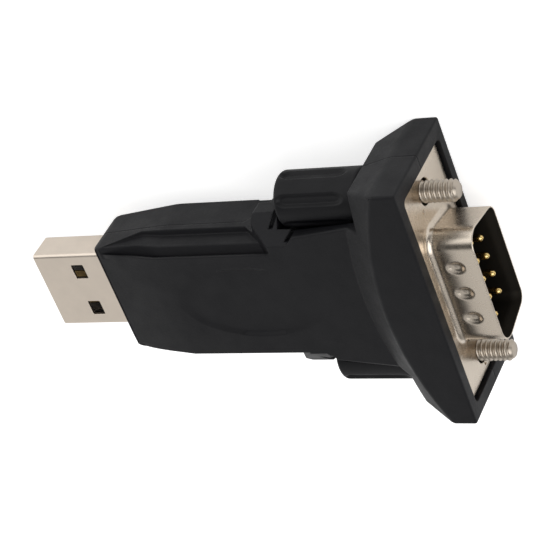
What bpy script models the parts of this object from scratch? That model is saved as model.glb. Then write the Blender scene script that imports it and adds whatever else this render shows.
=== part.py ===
"""USB to serial adapter: a moulded two-part housing between a USB plug and a nine-way serial plug.

Units are metres. X runs from the USB plug (-X) to the serial plug (+X), Y across the broad faces,
Z is up. The adapter lies on one broad face; its origin is under the middle of its length.
"""

import math

import bmesh
import bpy
from mathutils import Matrix, Vector

MM = 0.001

# Lengths along X
PLUG_REACH = 10.9 * MM          # bare USB plug before the housing's nose
HOUSING_LENGTH = 49.7 * MM      # nose to rim
SERIAL_REACH = 5.4 * MM         # serial shell beyond the rim
TAPER_LENGTH = 10.7 * MM        # nose to where the broad faces run level
FLANGE_DEPTH = 7.8 * MM         # rim back to the flange's rear face
RIM_STEP = 0.5 * MM             # rim stands out past the serial connector's plate

# Housing sections
NOSE_WIDTH = 16.4 * MM
NOSE_TOP = 3.1 * MM             # heights here are from the parting plane
NOSE_BOTTOM = 4.0 * MM
NOSE_CORNER = 1.9 * MM          # radius of its corners seen from above
NOSE_BLUNT_LENGTH = 1.2 * MM    # end edge of the nose, taken off at a slope
NOSE_BLUNT_TOP = 1.1 * MM
NOSE_BLUNT_BOTTOM = 0.35 * MM
BODY_WIDTH = 18.4 * MM
BODY_BEND = 25 * MM             # radius where the taper meets the straight sides
FACE_HEIGHT = 4.9 * MM
FLANGE_SIDE = 2.4 * MM          # flange beyond the serial connector's plate, at each side
FLANGE_EDGE = 2.0 * MM          # flange beyond the plate, above and below
FLANGE_FLARE = 1.2 * MM         # how far the flange's sides spread from rear to rim
FLARE_LENGTH = 4.3 * MM
FLARE_BEND = 4 * MM             # radius where the flare ends
WALL = 1.5 * MM
SEAM = 0.2 * MM                 # gap between the two shells
EDGE_ROUNDING = 0.3 * MM

# Slope from the broad face up to the flange, part of a cone about an upright axis
SLOPE_LENGTH = 4.2 * MM
SLOPE_LEVEL = 0.9 * MM          # slope's top lies this far before the flange's rear on the middle line
SLOPE_RADIUS = 44.1 * MM

# Finger scoops on the upper shell: depths are from the broad face, insets from the body's side
SCOOP_DEPTH = 3.95 * MM
SCOOP_STEP = 0.2 * MM           # its lower edge rises this much on the way in
SCOOP_STEP_INSET = 0.8 * MM
SCOOP_FLOOR_DEPTH = 1.7 * MM    # floor runs nearly upright up to here, then dives under the lip
SCOOP_FLOOR_INSET = 1.0 * MM
SCOOP_BACK_DEPTH = 1.0 * MM
LIP_THICKNESS = 0.38 * MM
LIP_OVERHANG = 0.8 * MM
LEFT_LIP_INSET = 1.7 * MM
RIGHT_LIP_INSET = 0.7 * MM
SCOOP_START = 1.9 * MM          # from the nose, where the scoop runs out
SCOOP_FULL = 7.6 * MM           # from the nose, nearly full depth from here
SCOOP_START_SHARE = 0.02        # share of the depth at these two stations
SCOOP_FULL_SHARE = 0.95
SCOOP_END_GAP = 2.6 * MM        # scoop's end to the shoulder, at its lower edge
SCOOP_END_LEAN = 4.65 * MM      # scoop runs this much further under the broad face

# Oval recess in the broad faces
OVAL_LENGTH = 21.8 * MM
OVAL_WIDTH = 11.2 * MM
OVAL_DEPTH = 0.35 * MM
OVAL_SIDE = 0.5 * MM            # width of its sloping side
OVAL_FROM_NOSE = 22.6 * MM

# Shoulders behind the thumbscrews
SHOULDER_LENGTH = 3.6 * MM
SHOULDER_REACH_TOP = 12.1 * MM  # from the middle plane, upper shell
SHOULDER_REACH_BOTTOM = 10.3 * MM
SHOULDER_FOOT = 8.7 * MM        # where its slope meets the broad face
SHOULDER_FALL = 0.818           # slope's drop per length outwards
SHOULDER_LEAN = 0.6 * MM
SHOULDER_BEND = 1 * MM          # radius where the body's side meets it
HOOD_LENGTH = 2.2 * MM          # slope runs this far over the knob's pocket
RAMP_LENGTH = 3.3 * MM          # ramp on the body's side, up to the shoulder
RAMP_HEIGHT = 2.6 * MM
RAMP_RISE = 1.8 * MM
SLOT_WIDTH = 0.65 * MM
SLOT_DEPTH = 0.7 * MM
SLOT_START = 10.4 * MM          # inner end of the slot behind the pocket, from the middle plane
SLOT_FROM_REAR = 2.3 * MM       # its inner end to the shoulder's rear
SLOT_SKEW = 0.5                 # shift towards the serial plug per length outwards
HOOD_SLOT_START = 9.1 * MM      # slot between hood and lip, from the middle plane
HOOD_SLOT_END = 9.85 * MM       # where its front wall reaches the hood's full length
HOOD_SLOT_SKEW = 0.9

# Thumbscrews
SCREW_SPACING = 25.0 * MM
KNOB_DIAMETER = 7.2 * MM
KNOB_LENGTH = 11.4 * MM
KNOB_FRONT_GAP = 0.4 * MM
KNOB_REAR_GAP = 0.6 * MM
KNOB_CHAMFER = 0.45 * MM
KNOB_FLOOR = 1.6 * MM
GRIP_SLOTS = 6
GRIP_SLOT_LENGTH = 7.8 * MM
GRIP_SLOT_WIDTH = 1.4 * MM
GRIP_SLOT_DEPTH = 0.55 * MM
GRIP_SLOT_REAR = 1.1 * MM
THREAD_DIAMETER = 2.84 * MM
NECK_DIAMETER = 2.2 * MM
NECK_TAPER = 0.3 * MM
NECK_SINK = 0.4 * MM            # thread's width is kept this deep inside the knob's front
THREAD_LENGTH = 7.0 * MM
SCREW_REACH = 4.5 * MM          # screw's end in front of the serial connector's plate
SCREW_TIP_CHAMFER = 0.5 * MM
SCREW_FIT = 0.08 * MM
FLANGE_HOLE_DIAMETER = 3.5 * MM
POCKET_CLEARANCE = 0.5 * MM
LIP_REAR = 10.0 * MM            # broad face's edge beside the knob, rear end
LIP_FRONT = 11.4 * MM

# USB plug
USB_WIDTH = 12.0 * MM
USB_HEIGHT = 4.5 * MM
USB_DROP = 0.9 * MM             # plug's middle below the parting plane
USB_SHEET = 0.3 * MM
USB_CORNER = 0.65 * MM
USB_LENGTH = 18.6 * MM
USB_FIT = 0.15 * MM
WINDOW_LENGTH = 1.9 * MM
WINDOW_WIDTH = 2.3 * MM
WINDOW_FROM_TIP = 5.85 * MM
WINDOW_SPACING = 6.2 * MM
WINDOW_CORNER = 0.15 * MM
TONGUE_THICKNESS = 1.75 * MM
TONGUE_INSET = 0.9 * MM
TONGUE_GAP = 0.1 * MM
TONGUE_BACK = 1.0 * MM          # tongue ends this far inside the shell's back end
PLUG_BLOCK_START = 10.6 * MM    # full-height block behind the tongue, from the tip
PLUG_BLOCK_BACK = 0.5 * MM
PLUG_BLOCK_RISE = 0.2 * MM
CONTACT_PITCHES = (-3.5 * MM, -1.0 * MM, 1.0 * MM, 3.5 * MM)
CONTACT_WIDTH = 1.0 * MM
CONTACT_THICKNESS = 0.27 * MM
CONTACT_PROUD = 0.02 * MM       # contacts stand this far out of the tongue
CONTACT_OUTER_START = 1.6 * MM  # from the tip
CONTACT_INNER_START = 2.6 * MM
CONTACT_GROOVE_GAP = 0.1 * MM
CONTACT_TAIL = 1.7 * MM

# Serial connector
PLATE_END = 2.9 * MM            # plate beyond each screw's axis
PLATE_HEIGHT = 12.4 * MM
PLATE_SHEET = 0.6 * MM
PLATE_CORNER = 0.8 * MM
PLATE_HOLE_DIAMETER = 3.4 * MM
PLATE_FIT = 0.35 * MM
SHELL_WIDTH = 16.9 * MM
SHELL_HEIGHT = 8.36 * MM
SHELL_CORNER = 2.2 * MM
SHELL_SHEET = 0.45 * MM
SHELL_ROOT = 0.8 * MM           # radius where the shell leaves its plate
SHELL_SLANT = math.radians(10)
SHELL_EDGE_LENGTH = 0.15 * MM   # front edge, drawn in slightly
SHELL_EDGE_DEPTH = 0.12 * MM
DIMPLE_PITCH = 3.9 * MM
DIMPLE_FROM_FRONT = 2.9 * MM
DIMPLE_FACE = (1.5 * MM, 0.6 * MM, 0.4 * MM)
DIMPLE_BACK = (1.9 * MM, 0.95 * MM, 0.75 * MM)
INSULATOR_RISE = 0.8 * MM       # insulator's face in front of the plate
INSULATOR_FIT = 0.12 * MM
INSULATOR_FLANGE = 1.0 * MM
INSULATOR_FLANGE_SPREAD = 1.0 * MM
INSULATOR_REAR = 4.2 * MM       # block behind the rear shell's plate
REAR_COLLAR = 2.6 * MM
STACK_GAP = 0.15 * MM
PIN_DIAMETER = 1.0 * MM
PIN_PITCH = 2.77 * MM
PIN_ROW_SPACING = 2.84 * MM
PIN_RECESS = 1.2 * MM           # pin tips behind the shell's front edge
PIN_FIT = 0.08 * MM
PIN_TIP_STRETCH = 1.4           # length of the round tip in radii
PIN_TAIL_DIAMETER = 0.7 * MM
PIN_TAIL_TAPER = 0.3 * MM
PIN_TAIL = 3.0 * MM
WIDE_ROW_PINS = 5
NARROW_ROW_PINS = 4
ROOM_SIDE = 2.0 * MM            # room in the housing around the connector's rear block
ROOM_EDGE = 1.2 * MM

# Circuit board and what it carries
BOARD_WIDTH = 13.8 * MM
BOARD_THICKNESS = 1.6 * MM
BOARD_CORNER = 0.5 * MM
BOARD_FRONT_GAP = 0.4 * MM
BOARD_REAR_GAP = 0.3 * MM
BOARD_SLOT_GAP = 0.15 * MM
CAVITY_WIDTH = 12.0 * MM
SOLDER_GAP = 0.1 * MM
CHIP_LENGTH = 10.2 * MM
CHIP_WIDTH = 5.3 * MM
CHIP_THICKNESS = 1.75 * MM
CHIP_STANDOFF = 0.1 * MM        # body above the feet of its leads
CHIP_LEADS = 14
CHIP_PITCH = 0.65 * MM
LEAD_WIDTH = 0.3 * MM
LEAD_THICKNESS = 0.2 * MM
LEAD_REACH = 1.1 * MM
LEAD_ROOT = 0.3 * MM            # lead's end inside the body
LEAD_BEND = 0.4 * MM            # body's side to the bend
CRYSTAL_SIZE = (5.0 * MM, 3.2 * MM, 1.1 * MM)
FUSE_SIZE = (4.5 * MM, 3.2 * MM, 0.9 * MM)
CAPACITOR_SIZE = (2.0 * MM, 1.25 * MM, 1.1 * MM)
RESISTOR_SIZE = (1.6 * MM, 0.8 * MM, 0.5 * MM)
CAPACITORS = 5
RESISTORS = 4
PART_GAP = 0.6 * MM             # between chips and the capacitors between them
RESISTOR_GAP = 1.0 * MM
FUSE_GAP = 0.4 * MM
PIN_TAIL_GAP = 1.5 * MM         # first chip to the serial pins' tails
CAPACITOR_EDGE = 2.0 * MM       # outer capacitors' middles to the board's edge

# Alignment pegs between the shells
PEG_DIAMETER = 1.6 * MM
PEG_HEIGHT = 1.5 * MM
PEG_FIT = 0.12 * MM
PEG_INSET = 2.5 * MM

ROUND_STEPS = 32
SMALL_STEPS = 12
ARC_STEPS = 5
SLOPE_STEPS = 180

# Sizes that follow from others
PLATE_WIDTH = SCREW_SPACING + 2 * PLATE_END
FLANGE_WIDTH = PLATE_WIDTH + 2 * FLANGE_SIDE
FLANGE_HEIGHT = PLATE_HEIGHT + 2 * FLANGE_EDGE

# Stations along X
TOTAL_LENGTH = PLUG_REACH + HOUSING_LENGTH + SERIAL_REACH
X_TIP = -TOTAL_LENGTH / 2
X_NOSE = X_TIP + PLUG_REACH
X_RIM = X_NOSE + HOUSING_LENGTH
X_FRONT = X_RIM + SERIAL_REACH
X_LEVEL = X_NOSE + TAPER_LENGTH
X_REAR = X_RIM - FLANGE_DEPTH
X_KNOB_FRONT = X_REAR - KNOB_FRONT_GAP
X_KNOB_REAR = X_KNOB_FRONT - KNOB_LENGTH
X_POCKET = X_KNOB_REAR - KNOB_REAR_GAP
X_SHOULDER = X_POCKET - SHOULDER_LENGTH
X_HOOD = X_POCKET + HOOD_LENGTH
X_PLATE = X_RIM - RIM_STEP
X_PLATE_BACK = X_PLATE - PLATE_SHEET
X_REAR_PLATE = X_PLATE_BACK - INSULATOR_FLANGE - 2 * STACK_GAP
X_REAR_PLATE_BACK = X_REAR_PLATE - PLATE_SHEET
X_STACK = X_REAR_PLATE_BACK - STACK_GAP
X_INSULATOR_BACK = X_REAR_PLATE_BACK - INSULATOR_REAR
X_USB_BACK = X_TIP + USB_LENGTH
X_BOARD_REAR = X_USB_BACK + BOARD_REAR_GAP
X_BOARD_FRONT = X_INSULATOR_BACK - BOARD_FRONT_GAP

OUTSIDE = 40 * MM               # cutters reach this far past the part
EMPTY_SIZE = 4 * MM
OVERLAP = 1 * MM                # cutters and joined blocks run this far past the faces they meet
JOIN = 0.3 * MM                 # overlap of joined blocks where there is less room
SCREW_Y = SCREW_SPACING / 2
TOP = FLANGE_HEIGHT / 2

# Colours
HOUSING_BLACK = (0.028, 0.028, 0.031)
KNOB_BLACK = (0.026, 0.026, 0.029)
INSULATOR_BLACK = (0.02, 0.02, 0.02)
NICKEL = (0.6, 0.56, 0.5)
GOLD = (0.83, 0.61, 0.26)


def clear_scene():
    for item in list(bpy.data.objects):
        bpy.data.objects.remove(item, do_unlink=True)


def new_collection(name):
    made = bpy.data.collections.new(name)
    bpy.context.scene.collection.children.link(made)
    return made


clear_scene()
PARTS = new_collection("usb_serial_adapter")
CUTTERS = new_collection("cutters")


def empty(name, parent=None, place=(0, 0, 0)):
    item = bpy.data.objects.new(name, None)
    item.empty_display_size = EMPTY_SIZE
    item.parent = parent
    item.location = place
    PARTS.objects.link(item)
    return item


# Parting plane of the housing, at half the flange's height: all pieces are placed from here
ADAPTER = empty("adapter", place=(0, 0, TOP))


def material(name, colour, roughness, metallic=0.0):
    made = bpy.data.materials.new(name)
    made.use_nodes = True
    shader = made.node_tree.nodes["Principled BSDF"]
    shader.inputs["Base Color"].default_value = (*colour, 1)
    shader.inputs["Roughness"].default_value = roughness
    shader.inputs["Metallic"].default_value = metallic
    made.diffuse_color = (*colour, 1)
    return made


def add(name, bm, parent=None):
    """Turn a bmesh into an object of the part."""
    bmesh.ops.recalc_face_normals(bm, faces=bm.faces)
    mesh = bpy.data.meshes.new(name)
    bm.to_mesh(mesh)
    bm.free()
    item = bpy.data.objects.new(name, mesh)
    item.parent = parent or ADAPTER
    PARTS.objects.link(item)
    return item


def finish(item, colour, roughness, metallic=0.0, smooth_angle=30):
    """Give a piece its material and smooth its round faces."""
    item.data.materials.clear()
    item.data.materials.append(material(item.name, colour, roughness, metallic))
    item.data.shade_smooth()
    item.data.set_sharp_from_angle(angle=math.radians(smooth_angle))
    return item


def as_cutter(item):
    """Move an object to the cutters, out of renders."""
    PARTS.objects.unlink(item)
    CUTTERS.objects.link(item)
    item.hide_render = True
    item.display_type = "WIRE"
    return item


def boolean(item, tool, operation="DIFFERENCE"):
    step = item.modifiers.new(operation.lower(), "BOOLEAN")
    step.operation = operation
    step.solver = "EXACT"
    step.object = as_cutter(tool) if tool.name in PARTS.objects else tool
    return item


def round_outer_edges(item, width, segments=2, angle=35):
    """Apply the modifiers, join points that nearly coincide, and round the convex edges."""
    apply_modifiers(item)
    bm = bmesh.new()
    bm.from_mesh(item.data)
    bmesh.ops.dissolve_degenerate(bm, dist=width / 10, edges=bm.edges)
    bmesh.ops.dissolve_limit(bm, angle_limit=math.radians(0.5), verts=bm.verts, edges=bm.edges)
    limit = math.radians(angle)
    sharp = [edge for edge in bm.edges if edge.is_manifold and edge.calc_face_angle_signed() > limit]
    bmesh.ops.bevel(bm, geom=sharp, offset=width, segments=segments, profile=0.5, affect="EDGES",
                    clamp_overlap=False)
    for vert in bm.verts:
        vert.co.z = min(vert.co.z, TOP)
    bm.to_mesh(item.data)
    bm.free()
    return item


def rounded(corners, steps=ARC_STEPS):
    """A closed outline from (u, v, radius) corners, each corner turned by an arc of its radius."""
    points = []
    count = len(corners)
    for index, (u, v, radius) in enumerate(corners):
        corner = Vector((u, v))
        if radius <= 0:
            points.append(corner)
            continue
        before = (Vector(corners[index - 1][:2]) - corner).normalized()
        after = (Vector(corners[(index + 1) % count][:2]) - corner).normalized()
        half = before.angle(after) / 2
        centre = corner + (before + after).normalized() * radius / math.sin(half)
        first = corner + before * radius / math.tan(half) - centre
        last = corner + after * radius / math.tan(half) - centre
        turn = first.angle_signed(last)
        for step in range(steps + 1):
            spin = Matrix.Rotation(-turn * step / steps, 2)
            points.append(centre + spin @ first)
    return points


def rectangle(width, height, radius=0.0, u=0.0, v=0.0, steps=ARC_STEPS):
    """A rectangle about (u, v) with rounded corners."""
    a, b = width / 2, height / 2
    return rounded([(u - a, v - b, radius), (u + a, v - b, radius),
                    (u + a, v + b, radius), (u - a, v + b, radius)], steps)


PLANES = {
    "XY": lambda u, v, w: Vector((u, v, w)),
    "XZ": lambda u, v, w: Vector((u, w, v)),
    "YZ": lambda u, v, w: Vector((w, u, v)),
}


def prism_bmesh(outline, low, high, plane, bm=None):
    """Push a flat outline in the named plane from low to high along the third axis."""
    bm = bm or bmesh.new()
    place = PLANES[plane]
    base = bm.faces.new([bm.verts.new(place(u, v, low)) for u, v in outline])
    grown = bmesh.ops.extrude_face_region(bm, geom=[base])
    moved = [part for part in grown["geom"] if isinstance(part, bmesh.types.BMVert)]
    bmesh.ops.translate(bm, verts=moved, vec=place(0, 0, high - low))
    return bm


def prism(name, outline, low, high, plane="XY", parent=None):
    return add(name, prism_bmesh(outline, low, high, plane), parent)


def box_bmesh(x, y, z, bm=None):
    """A box from its (low, high) spans."""
    bm = bm or bmesh.new()
    middle = Vector([(low + high) / 2 for low, high in (x, y, z)])
    size = Vector([high - low for low, high in (x, y, z)])
    bmesh.ops.create_cube(bm, size=1, matrix=Matrix.Translation(middle) @ Matrix.Diagonal((*size, 1)))
    return bm


def box(name, x, y, z, parent=None):
    return add(name, box_bmesh(x, y, z), parent)


def along_x(x, y, z):
    """Turns a shape made about +Z so that it runs along +X from the given point."""
    return Matrix.Translation((x, y, z)) @ Matrix.Rotation(math.pi / 2, 4, "Y")


def rod_bmesh(radius, low, high, y=0.0, z=0.0, steps=ROUND_STEPS, bm=None):
    """A round rod along X."""
    bm = bm or bmesh.new()
    bmesh.ops.create_cone(bm, cap_ends=True, segments=steps, radius1=radius, radius2=radius,
                          depth=high - low, matrix=along_x((low + high) / 2, y, z))
    return bm


def post_bmesh(radius, x, y, low, high, steps=ROUND_STEPS, bm=None):
    """A round post along Z."""
    bm = bm or bmesh.new()
    bmesh.ops.create_cone(bm, cap_ends=True, segments=steps, radius1=radius, radius2=radius,
                          depth=high - low, matrix=Matrix.Translation((x, y, (low + high) / 2)))
    return bm


def turned(name, profile, x, y, parent=None, steps=ROUND_STEPS):
    """A piece turned about a line along X: profile holds (radius, distance along X), front end first."""
    mesh = bpy.data.meshes.new(name)
    points = [(radius, 0, distance) for radius, distance in profile]
    mesh.from_pydata(points, [(i, i + 1) for i in range(len(points) - 1)], [])
    item = bpy.data.objects.new(name, mesh)
    item.parent = parent or ADAPTER
    PARTS.objects.link(item)
    item.location = (x, y, 0)
    item.rotation_euler = (0, math.pi / 2, 0)
    screw = item.modifiers.new("turned", "SCREW")
    screw.axis = "Z"
    screw.steps = steps
    screw.render_steps = steps
    screw.use_merge_vertices = True
    screw.merge_threshold = 0.00001
    screw.use_smooth_shade = True
    return item


def loft(name, rings, parent=None):
    """A solid through rings of equal point counts, closed by a face at each end."""
    bm = bmesh.new()
    loops = [[bm.verts.new(point) for point in ring] for ring in rings]
    count = len(loops[0])
    for lower, upper in zip(loops, loops[1:]):
        for i in range(count):
            j = (i + 1) % count
            bm.faces.new((lower[i], lower[j], upper[j], upper[i]))
    bm.faces.new(list(reversed(loops[0])))
    bm.faces.new(loops[-1])
    return add(name, bm, parent)


def mirrored_outline(half):
    """Close a half outline (first point to last, v above zero) with its mirror image below."""
    return half + [(u, -v, radius) for u, v, radius in reversed(half)]


def both_sides(bm):
    """Add the mirror image across the middle plane Y = 0."""
    copied = bmesh.ops.duplicate(bm, geom=list(bm.verts) + list(bm.edges) + list(bm.faces))
    verts = [part for part in copied["geom"] if isinstance(part, bmesh.types.BMVert)]
    bmesh.ops.scale(bm, verts=verts, vec=(1, -1, 1))
    return bm


# Housing

def plan_outline(shoulder_reach):
    """Outline of a shell seen from above."""
    flange = FLANGE_WIDTH / 2
    body = BODY_WIDTH / 2
    half = [
        (X_NOSE, NOSE_WIDTH / 2, NOSE_CORNER),
        (X_LEVEL, body, BODY_BEND),
        (X_SHOULDER - SHOULDER_LEAN, body, SHOULDER_BEND),
        (X_SHOULDER, shoulder_reach, 0),
        (X_HOOD, shoulder_reach, 0),
        (X_HOOD, LIP_REAR, 0),
        (X_REAR, LIP_FRONT, 0),
        (X_REAR, flange - FLANGE_FLARE, 0),
        (X_REAR + FLARE_LENGTH, flange, FLARE_BEND),
        (X_RIM, flange, 0),
    ]
    return rounded(mirrored_outline(half))


def face_at(x, nose_height):
    """Height of the broad face along the taper."""
    return nose_height + (FACE_HEIGHT - nose_height) * (x - X_NOSE) / TAPER_LENGTH


def side_body(nose_height, blunt_height):
    """The body and the sloped flange seen from the side, before the plan outline trims them."""
    ahead = X_RIM + OVERLAP
    blunt_x = X_NOSE + NOSE_BLUNT_LENGTH
    blunt_z = face_at(blunt_x, nose_height)
    steepness = (blunt_z - nose_height + blunt_height) / NOSE_BLUNT_LENGTH
    profile = [
        (X_NOSE - OVERLAP, -2 * OVERLAP), (ahead, -2 * OVERLAP), (ahead, FACE_HEIGHT), (X_LEVEL, FACE_HEIGHT),
        (blunt_x, blunt_z), (X_NOSE - OVERLAP, nose_height - blunt_height - OVERLAP * steepness),
    ]
    body = prism("slab", profile, -OUTSIDE, OUTSIDE, "XZ")
    slope = SLOPE_LENGTH / (TOP - FACE_HEIGHT)
    bm = bmesh.new()
    axis_x = X_REAR + SLOPE_LEVEL + SLOPE_RADIUS
    bmesh.ops.create_cone(
        bm, cap_ends=True, segments=SLOPE_STEPS,
        radius1=SLOPE_RADIUS + SLOPE_LENGTH + slope * OVERLAP, radius2=SLOPE_RADIUS,
        depth=TOP - FACE_HEIGHT + OVERLAP,
        matrix=Matrix.Translation((axis_x, 0, (TOP + FACE_HEIGHT - OVERLAP) / 2)))
    return boolean(body, add("slope", bm), "UNION")


def facet_at(y):
    """Height of a shoulder's slope at this distance from the middle plane."""
    return FACE_HEIGHT - SHOULDER_FALL * (y - SHOULDER_FOOT)


def skewed(bm, skew, start):
    """Shift a cutter along X in proportion to its distance out from start."""
    for vert in bm.verts:
        vert.co.x += skew * (vert.co.y - start)
    return bm


def shoulder_wedges():
    """Takes the shoulders' broad edges off at a slope that runs on over the pocket."""
    outer = SHOULDER_REACH_TOP + 2 * OVERLAP
    inner = SHOULDER_FOOT - OVERLAP
    wedge = [(inner, facet_at(inner)), (outer, facet_at(outer)), (outer, facet_at(inner))]
    bm = prism_bmesh(wedge, X_SHOULDER - 3 * OVERLAP, X_HOOD - SLOT_WIDTH / 2, "YZ")
    front = [vert for vert in bm.verts if vert.co.x > X_POCKET]
    for vert in front:
        vert.co.x += HOOD_SLOT_SKEW * (vert.co.y - HOOD_SLOT_END)
    return add("shoulder_wedges", both_sides(bm))


def shoulder_ramp(side):
    """Start of a shoulder: a ramp leaning against its rear face, low on the body's side."""
    body = BODY_WIDTH / 2 - SEAM / 4
    under = -OVERLAP / 2
    root = body - OVERLAP
    low = SEAM / 2
    section = [(root, under), (body, under), (body, low), (body, 2 * low), (root, 2 * low)]
    outer = body + RAMP_RISE
    grown = [(root, under), (outer, under), (outer, low), (body, RAMP_HEIGHT), (root, RAMP_HEIGHT)]
    rings = []
    for x, outline in ((X_SHOULDER - RAMP_LENGTH, section), (X_SHOULDER + JOIN, grown)):
        rings.append([Vector((x, side * y, z)) for y, z in outline])
    return loft("shoulder_ramp", rings)


def pockets():
    """Room for the knobs, round about their axes and open to the sides."""
    radius = KNOB_DIAMETER / 2 + POCKET_CLEARANCE
    rounds = rod_bmesh(radius, X_POCKET, X_REAR, SCREW_Y, steps=2 * ROUND_STEPS)
    sides = box_bmesh((X_POCKET, X_REAR), (SCREW_Y, OUTSIDE), (-radius, radius))
    return [add("pocket_rounds", both_sides(rounds)), add("pocket_sides", both_sides(sides))]


def shoulder_slots():
    """Two narrow slots across each shoulder's slope: one behind the pocket, one before the lip."""
    outer = SHOULDER_REACH_TOP + OVERLAP
    hood_slot = X_HOOD - SLOT_WIDTH - HOOD_SLOT_SKEW * (HOOD_SLOT_END - HOOD_SLOT_START)
    made = []
    for name, start, x, skew in (
            ("shoulder_slots", SLOT_START, X_SHOULDER + SLOT_FROM_REAR, SLOT_SKEW),
            ("hood_slots", HOOD_SLOT_START, hood_slot, HOOD_SLOT_SKEW)):
        outline = [(start, facet_at(start) - SLOT_DEPTH), (outer, facet_at(outer) - SLOT_DEPTH),
                   (outer, FACE_HEIGHT + OVERLAP), (start, FACE_HEIGHT + OVERLAP)]
        bm = skewed(prism_bmesh(outline, x, x + SLOT_WIDTH, "YZ"), skew, start)
        made.append(add(name, both_sides(bm)))
    return made


def scoop(nose_height, side, lip_inset):
    """Finger scoop on one side: an upright floor that dives under a thin lip, run out at the nose."""
    body = BODY_WIDTH / 2
    lip = body - lip_inset
    end = X_SHOULDER - SCOOP_END_GAP

    def ring(x, depth, lean):
        face = min(FACE_HEIGHT, face_at(x, nose_height))
        section = [
            (OUTSIDE, SCOOP_DEPTH), (body, SCOOP_DEPTH), (body - SCOOP_STEP_INSET, SCOOP_DEPTH - SCOOP_STEP),
            (body - SCOOP_FLOOR_INSET, SCOOP_FLOOR_DEPTH), (lip - LIP_OVERHANG, SCOOP_BACK_DEPTH),
            (lip - LIP_OVERHANG, LIP_THICKNESS), (lip, LIP_THICKNESS), (lip, -OVERLAP), (OUTSIDE, -OVERLAP),
        ]
        points = []
        for y, below in section:
            drop = below * depth if below > 0 else below
            points.append(Vector((x + lean * (1 - below / SCOOP_DEPTH), side * y, face - drop)))
        return points

    return loft("scoop", [
        ring(X_NOSE + SCOOP_START, SCOOP_START_SHARE, 0),
        ring(X_NOSE + SCOOP_FULL, SCOOP_FULL_SHARE, 0),
        ring(X_LEVEL, 1, 0),
        ring(end, 1, SCOOP_END_LEAN),
    ])


def oval():
    """A shallow oval recess with sloping sides."""
    bm = bmesh.new()
    depth = OVAL_DEPTH + OVERLAP
    floor = OVAL_WIDTH / 2 - OVAL_SIDE
    rim = floor + OVAL_SIDE * depth / OVAL_DEPTH
    bmesh.ops.create_cone(bm, cap_ends=True, segments=2 * ROUND_STEPS, radius1=floor, radius2=rim, depth=depth)
    bmesh.ops.scale(bm, verts=bm.verts, vec=(OVAL_LENGTH / OVAL_WIDTH, 1, 1))
    middle = FACE_HEIGHT - OVAL_DEPTH + depth / 2
    bmesh.ops.translate(bm, verts=bm.verts, vec=(X_NOSE + OVAL_FROM_NOSE, 0, middle))
    return add("oval", bm)


def cavity(nose_height):
    """Hollow for the board, following the taper towards the nose."""
    start = X_NOSE + 2.5 * WALL
    under = -2 * OVERLAP
    profile = [
        (start, under), (X_STACK - WALL, under), (X_STACK - WALL, FACE_HEIGHT - WALL),
        (X_LEVEL, FACE_HEIGHT - WALL), (start, face_at(start, nose_height) - WALL),
    ]
    return prism("cavity", profile, -CAVITY_WIDTH / 2, CAVITY_WIDTH / 2, "XZ")


def board_slot():
    """Ledge that holds the board's edges."""
    half = BOARD_WIDTH / 2 + BOARD_SLOT_GAP
    height = BOARD_THICKNESS / 2 + BOARD_SLOT_GAP
    return box("board_slot", (X_BOARD_REAR - BOARD_SLOT_GAP, X_STACK - WALL), (-half, half), (-height, height))


def usb_passage(sign):
    """Opening in the nose around the USB shell. Heights are mirrored for the lower shell."""
    middle = -USB_DROP * sign
    outline = rectangle(USB_WIDTH + 2 * USB_FIT, USB_HEIGHT + 2 * USB_FIT, USB_CORNER + USB_FIT, 0, middle)
    return prism("usb_passage", outline, X_NOSE - OUTSIDE / 4, X_USB_BACK + BOARD_REAR_GAP, "YZ")


def connector_seat():
    """Recess for the serial connector's plates, and the room behind them."""
    width = PLATE_WIDTH + 2 * PLATE_FIT
    height = PLATE_HEIGHT + 2 * PLATE_FIT
    outline = rectangle(width, height, PLATE_CORNER)
    return prism("connector_seat", outline, X_STACK, X_RIM + OUTSIDE / 4, "YZ")


def connector_room():
    """Room for the connector's rear block between its plates and the board."""
    outline = rectangle(SHELL_WIDTH + 2 * ROOM_SIDE, SHELL_HEIGHT + 2 * ROOM_EDGE, SHELL_CORNER)
    return prism("connector_room", outline, X_INSULATOR_BACK - STACK_GAP, X_STACK + OVERLAP, "YZ")


def screw_holes():
    bm = rod_bmesh(FLANGE_HOLE_DIAMETER / 2, X_REAR - OVERLAP, X_STACK + OVERLAP, SCREW_Y)
    return add("screw_holes", both_sides(bm))


def pegs(name, radius, low, high):
    """An alignment peg in each end of the flange."""
    bm = post_bmesh(radius, (X_REAR + X_STACK) / 2, FLANGE_WIDTH / 2 - PEG_INSET, low, high, SMALL_STEPS * 2)
    return add(name, both_sides(bm))


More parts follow.
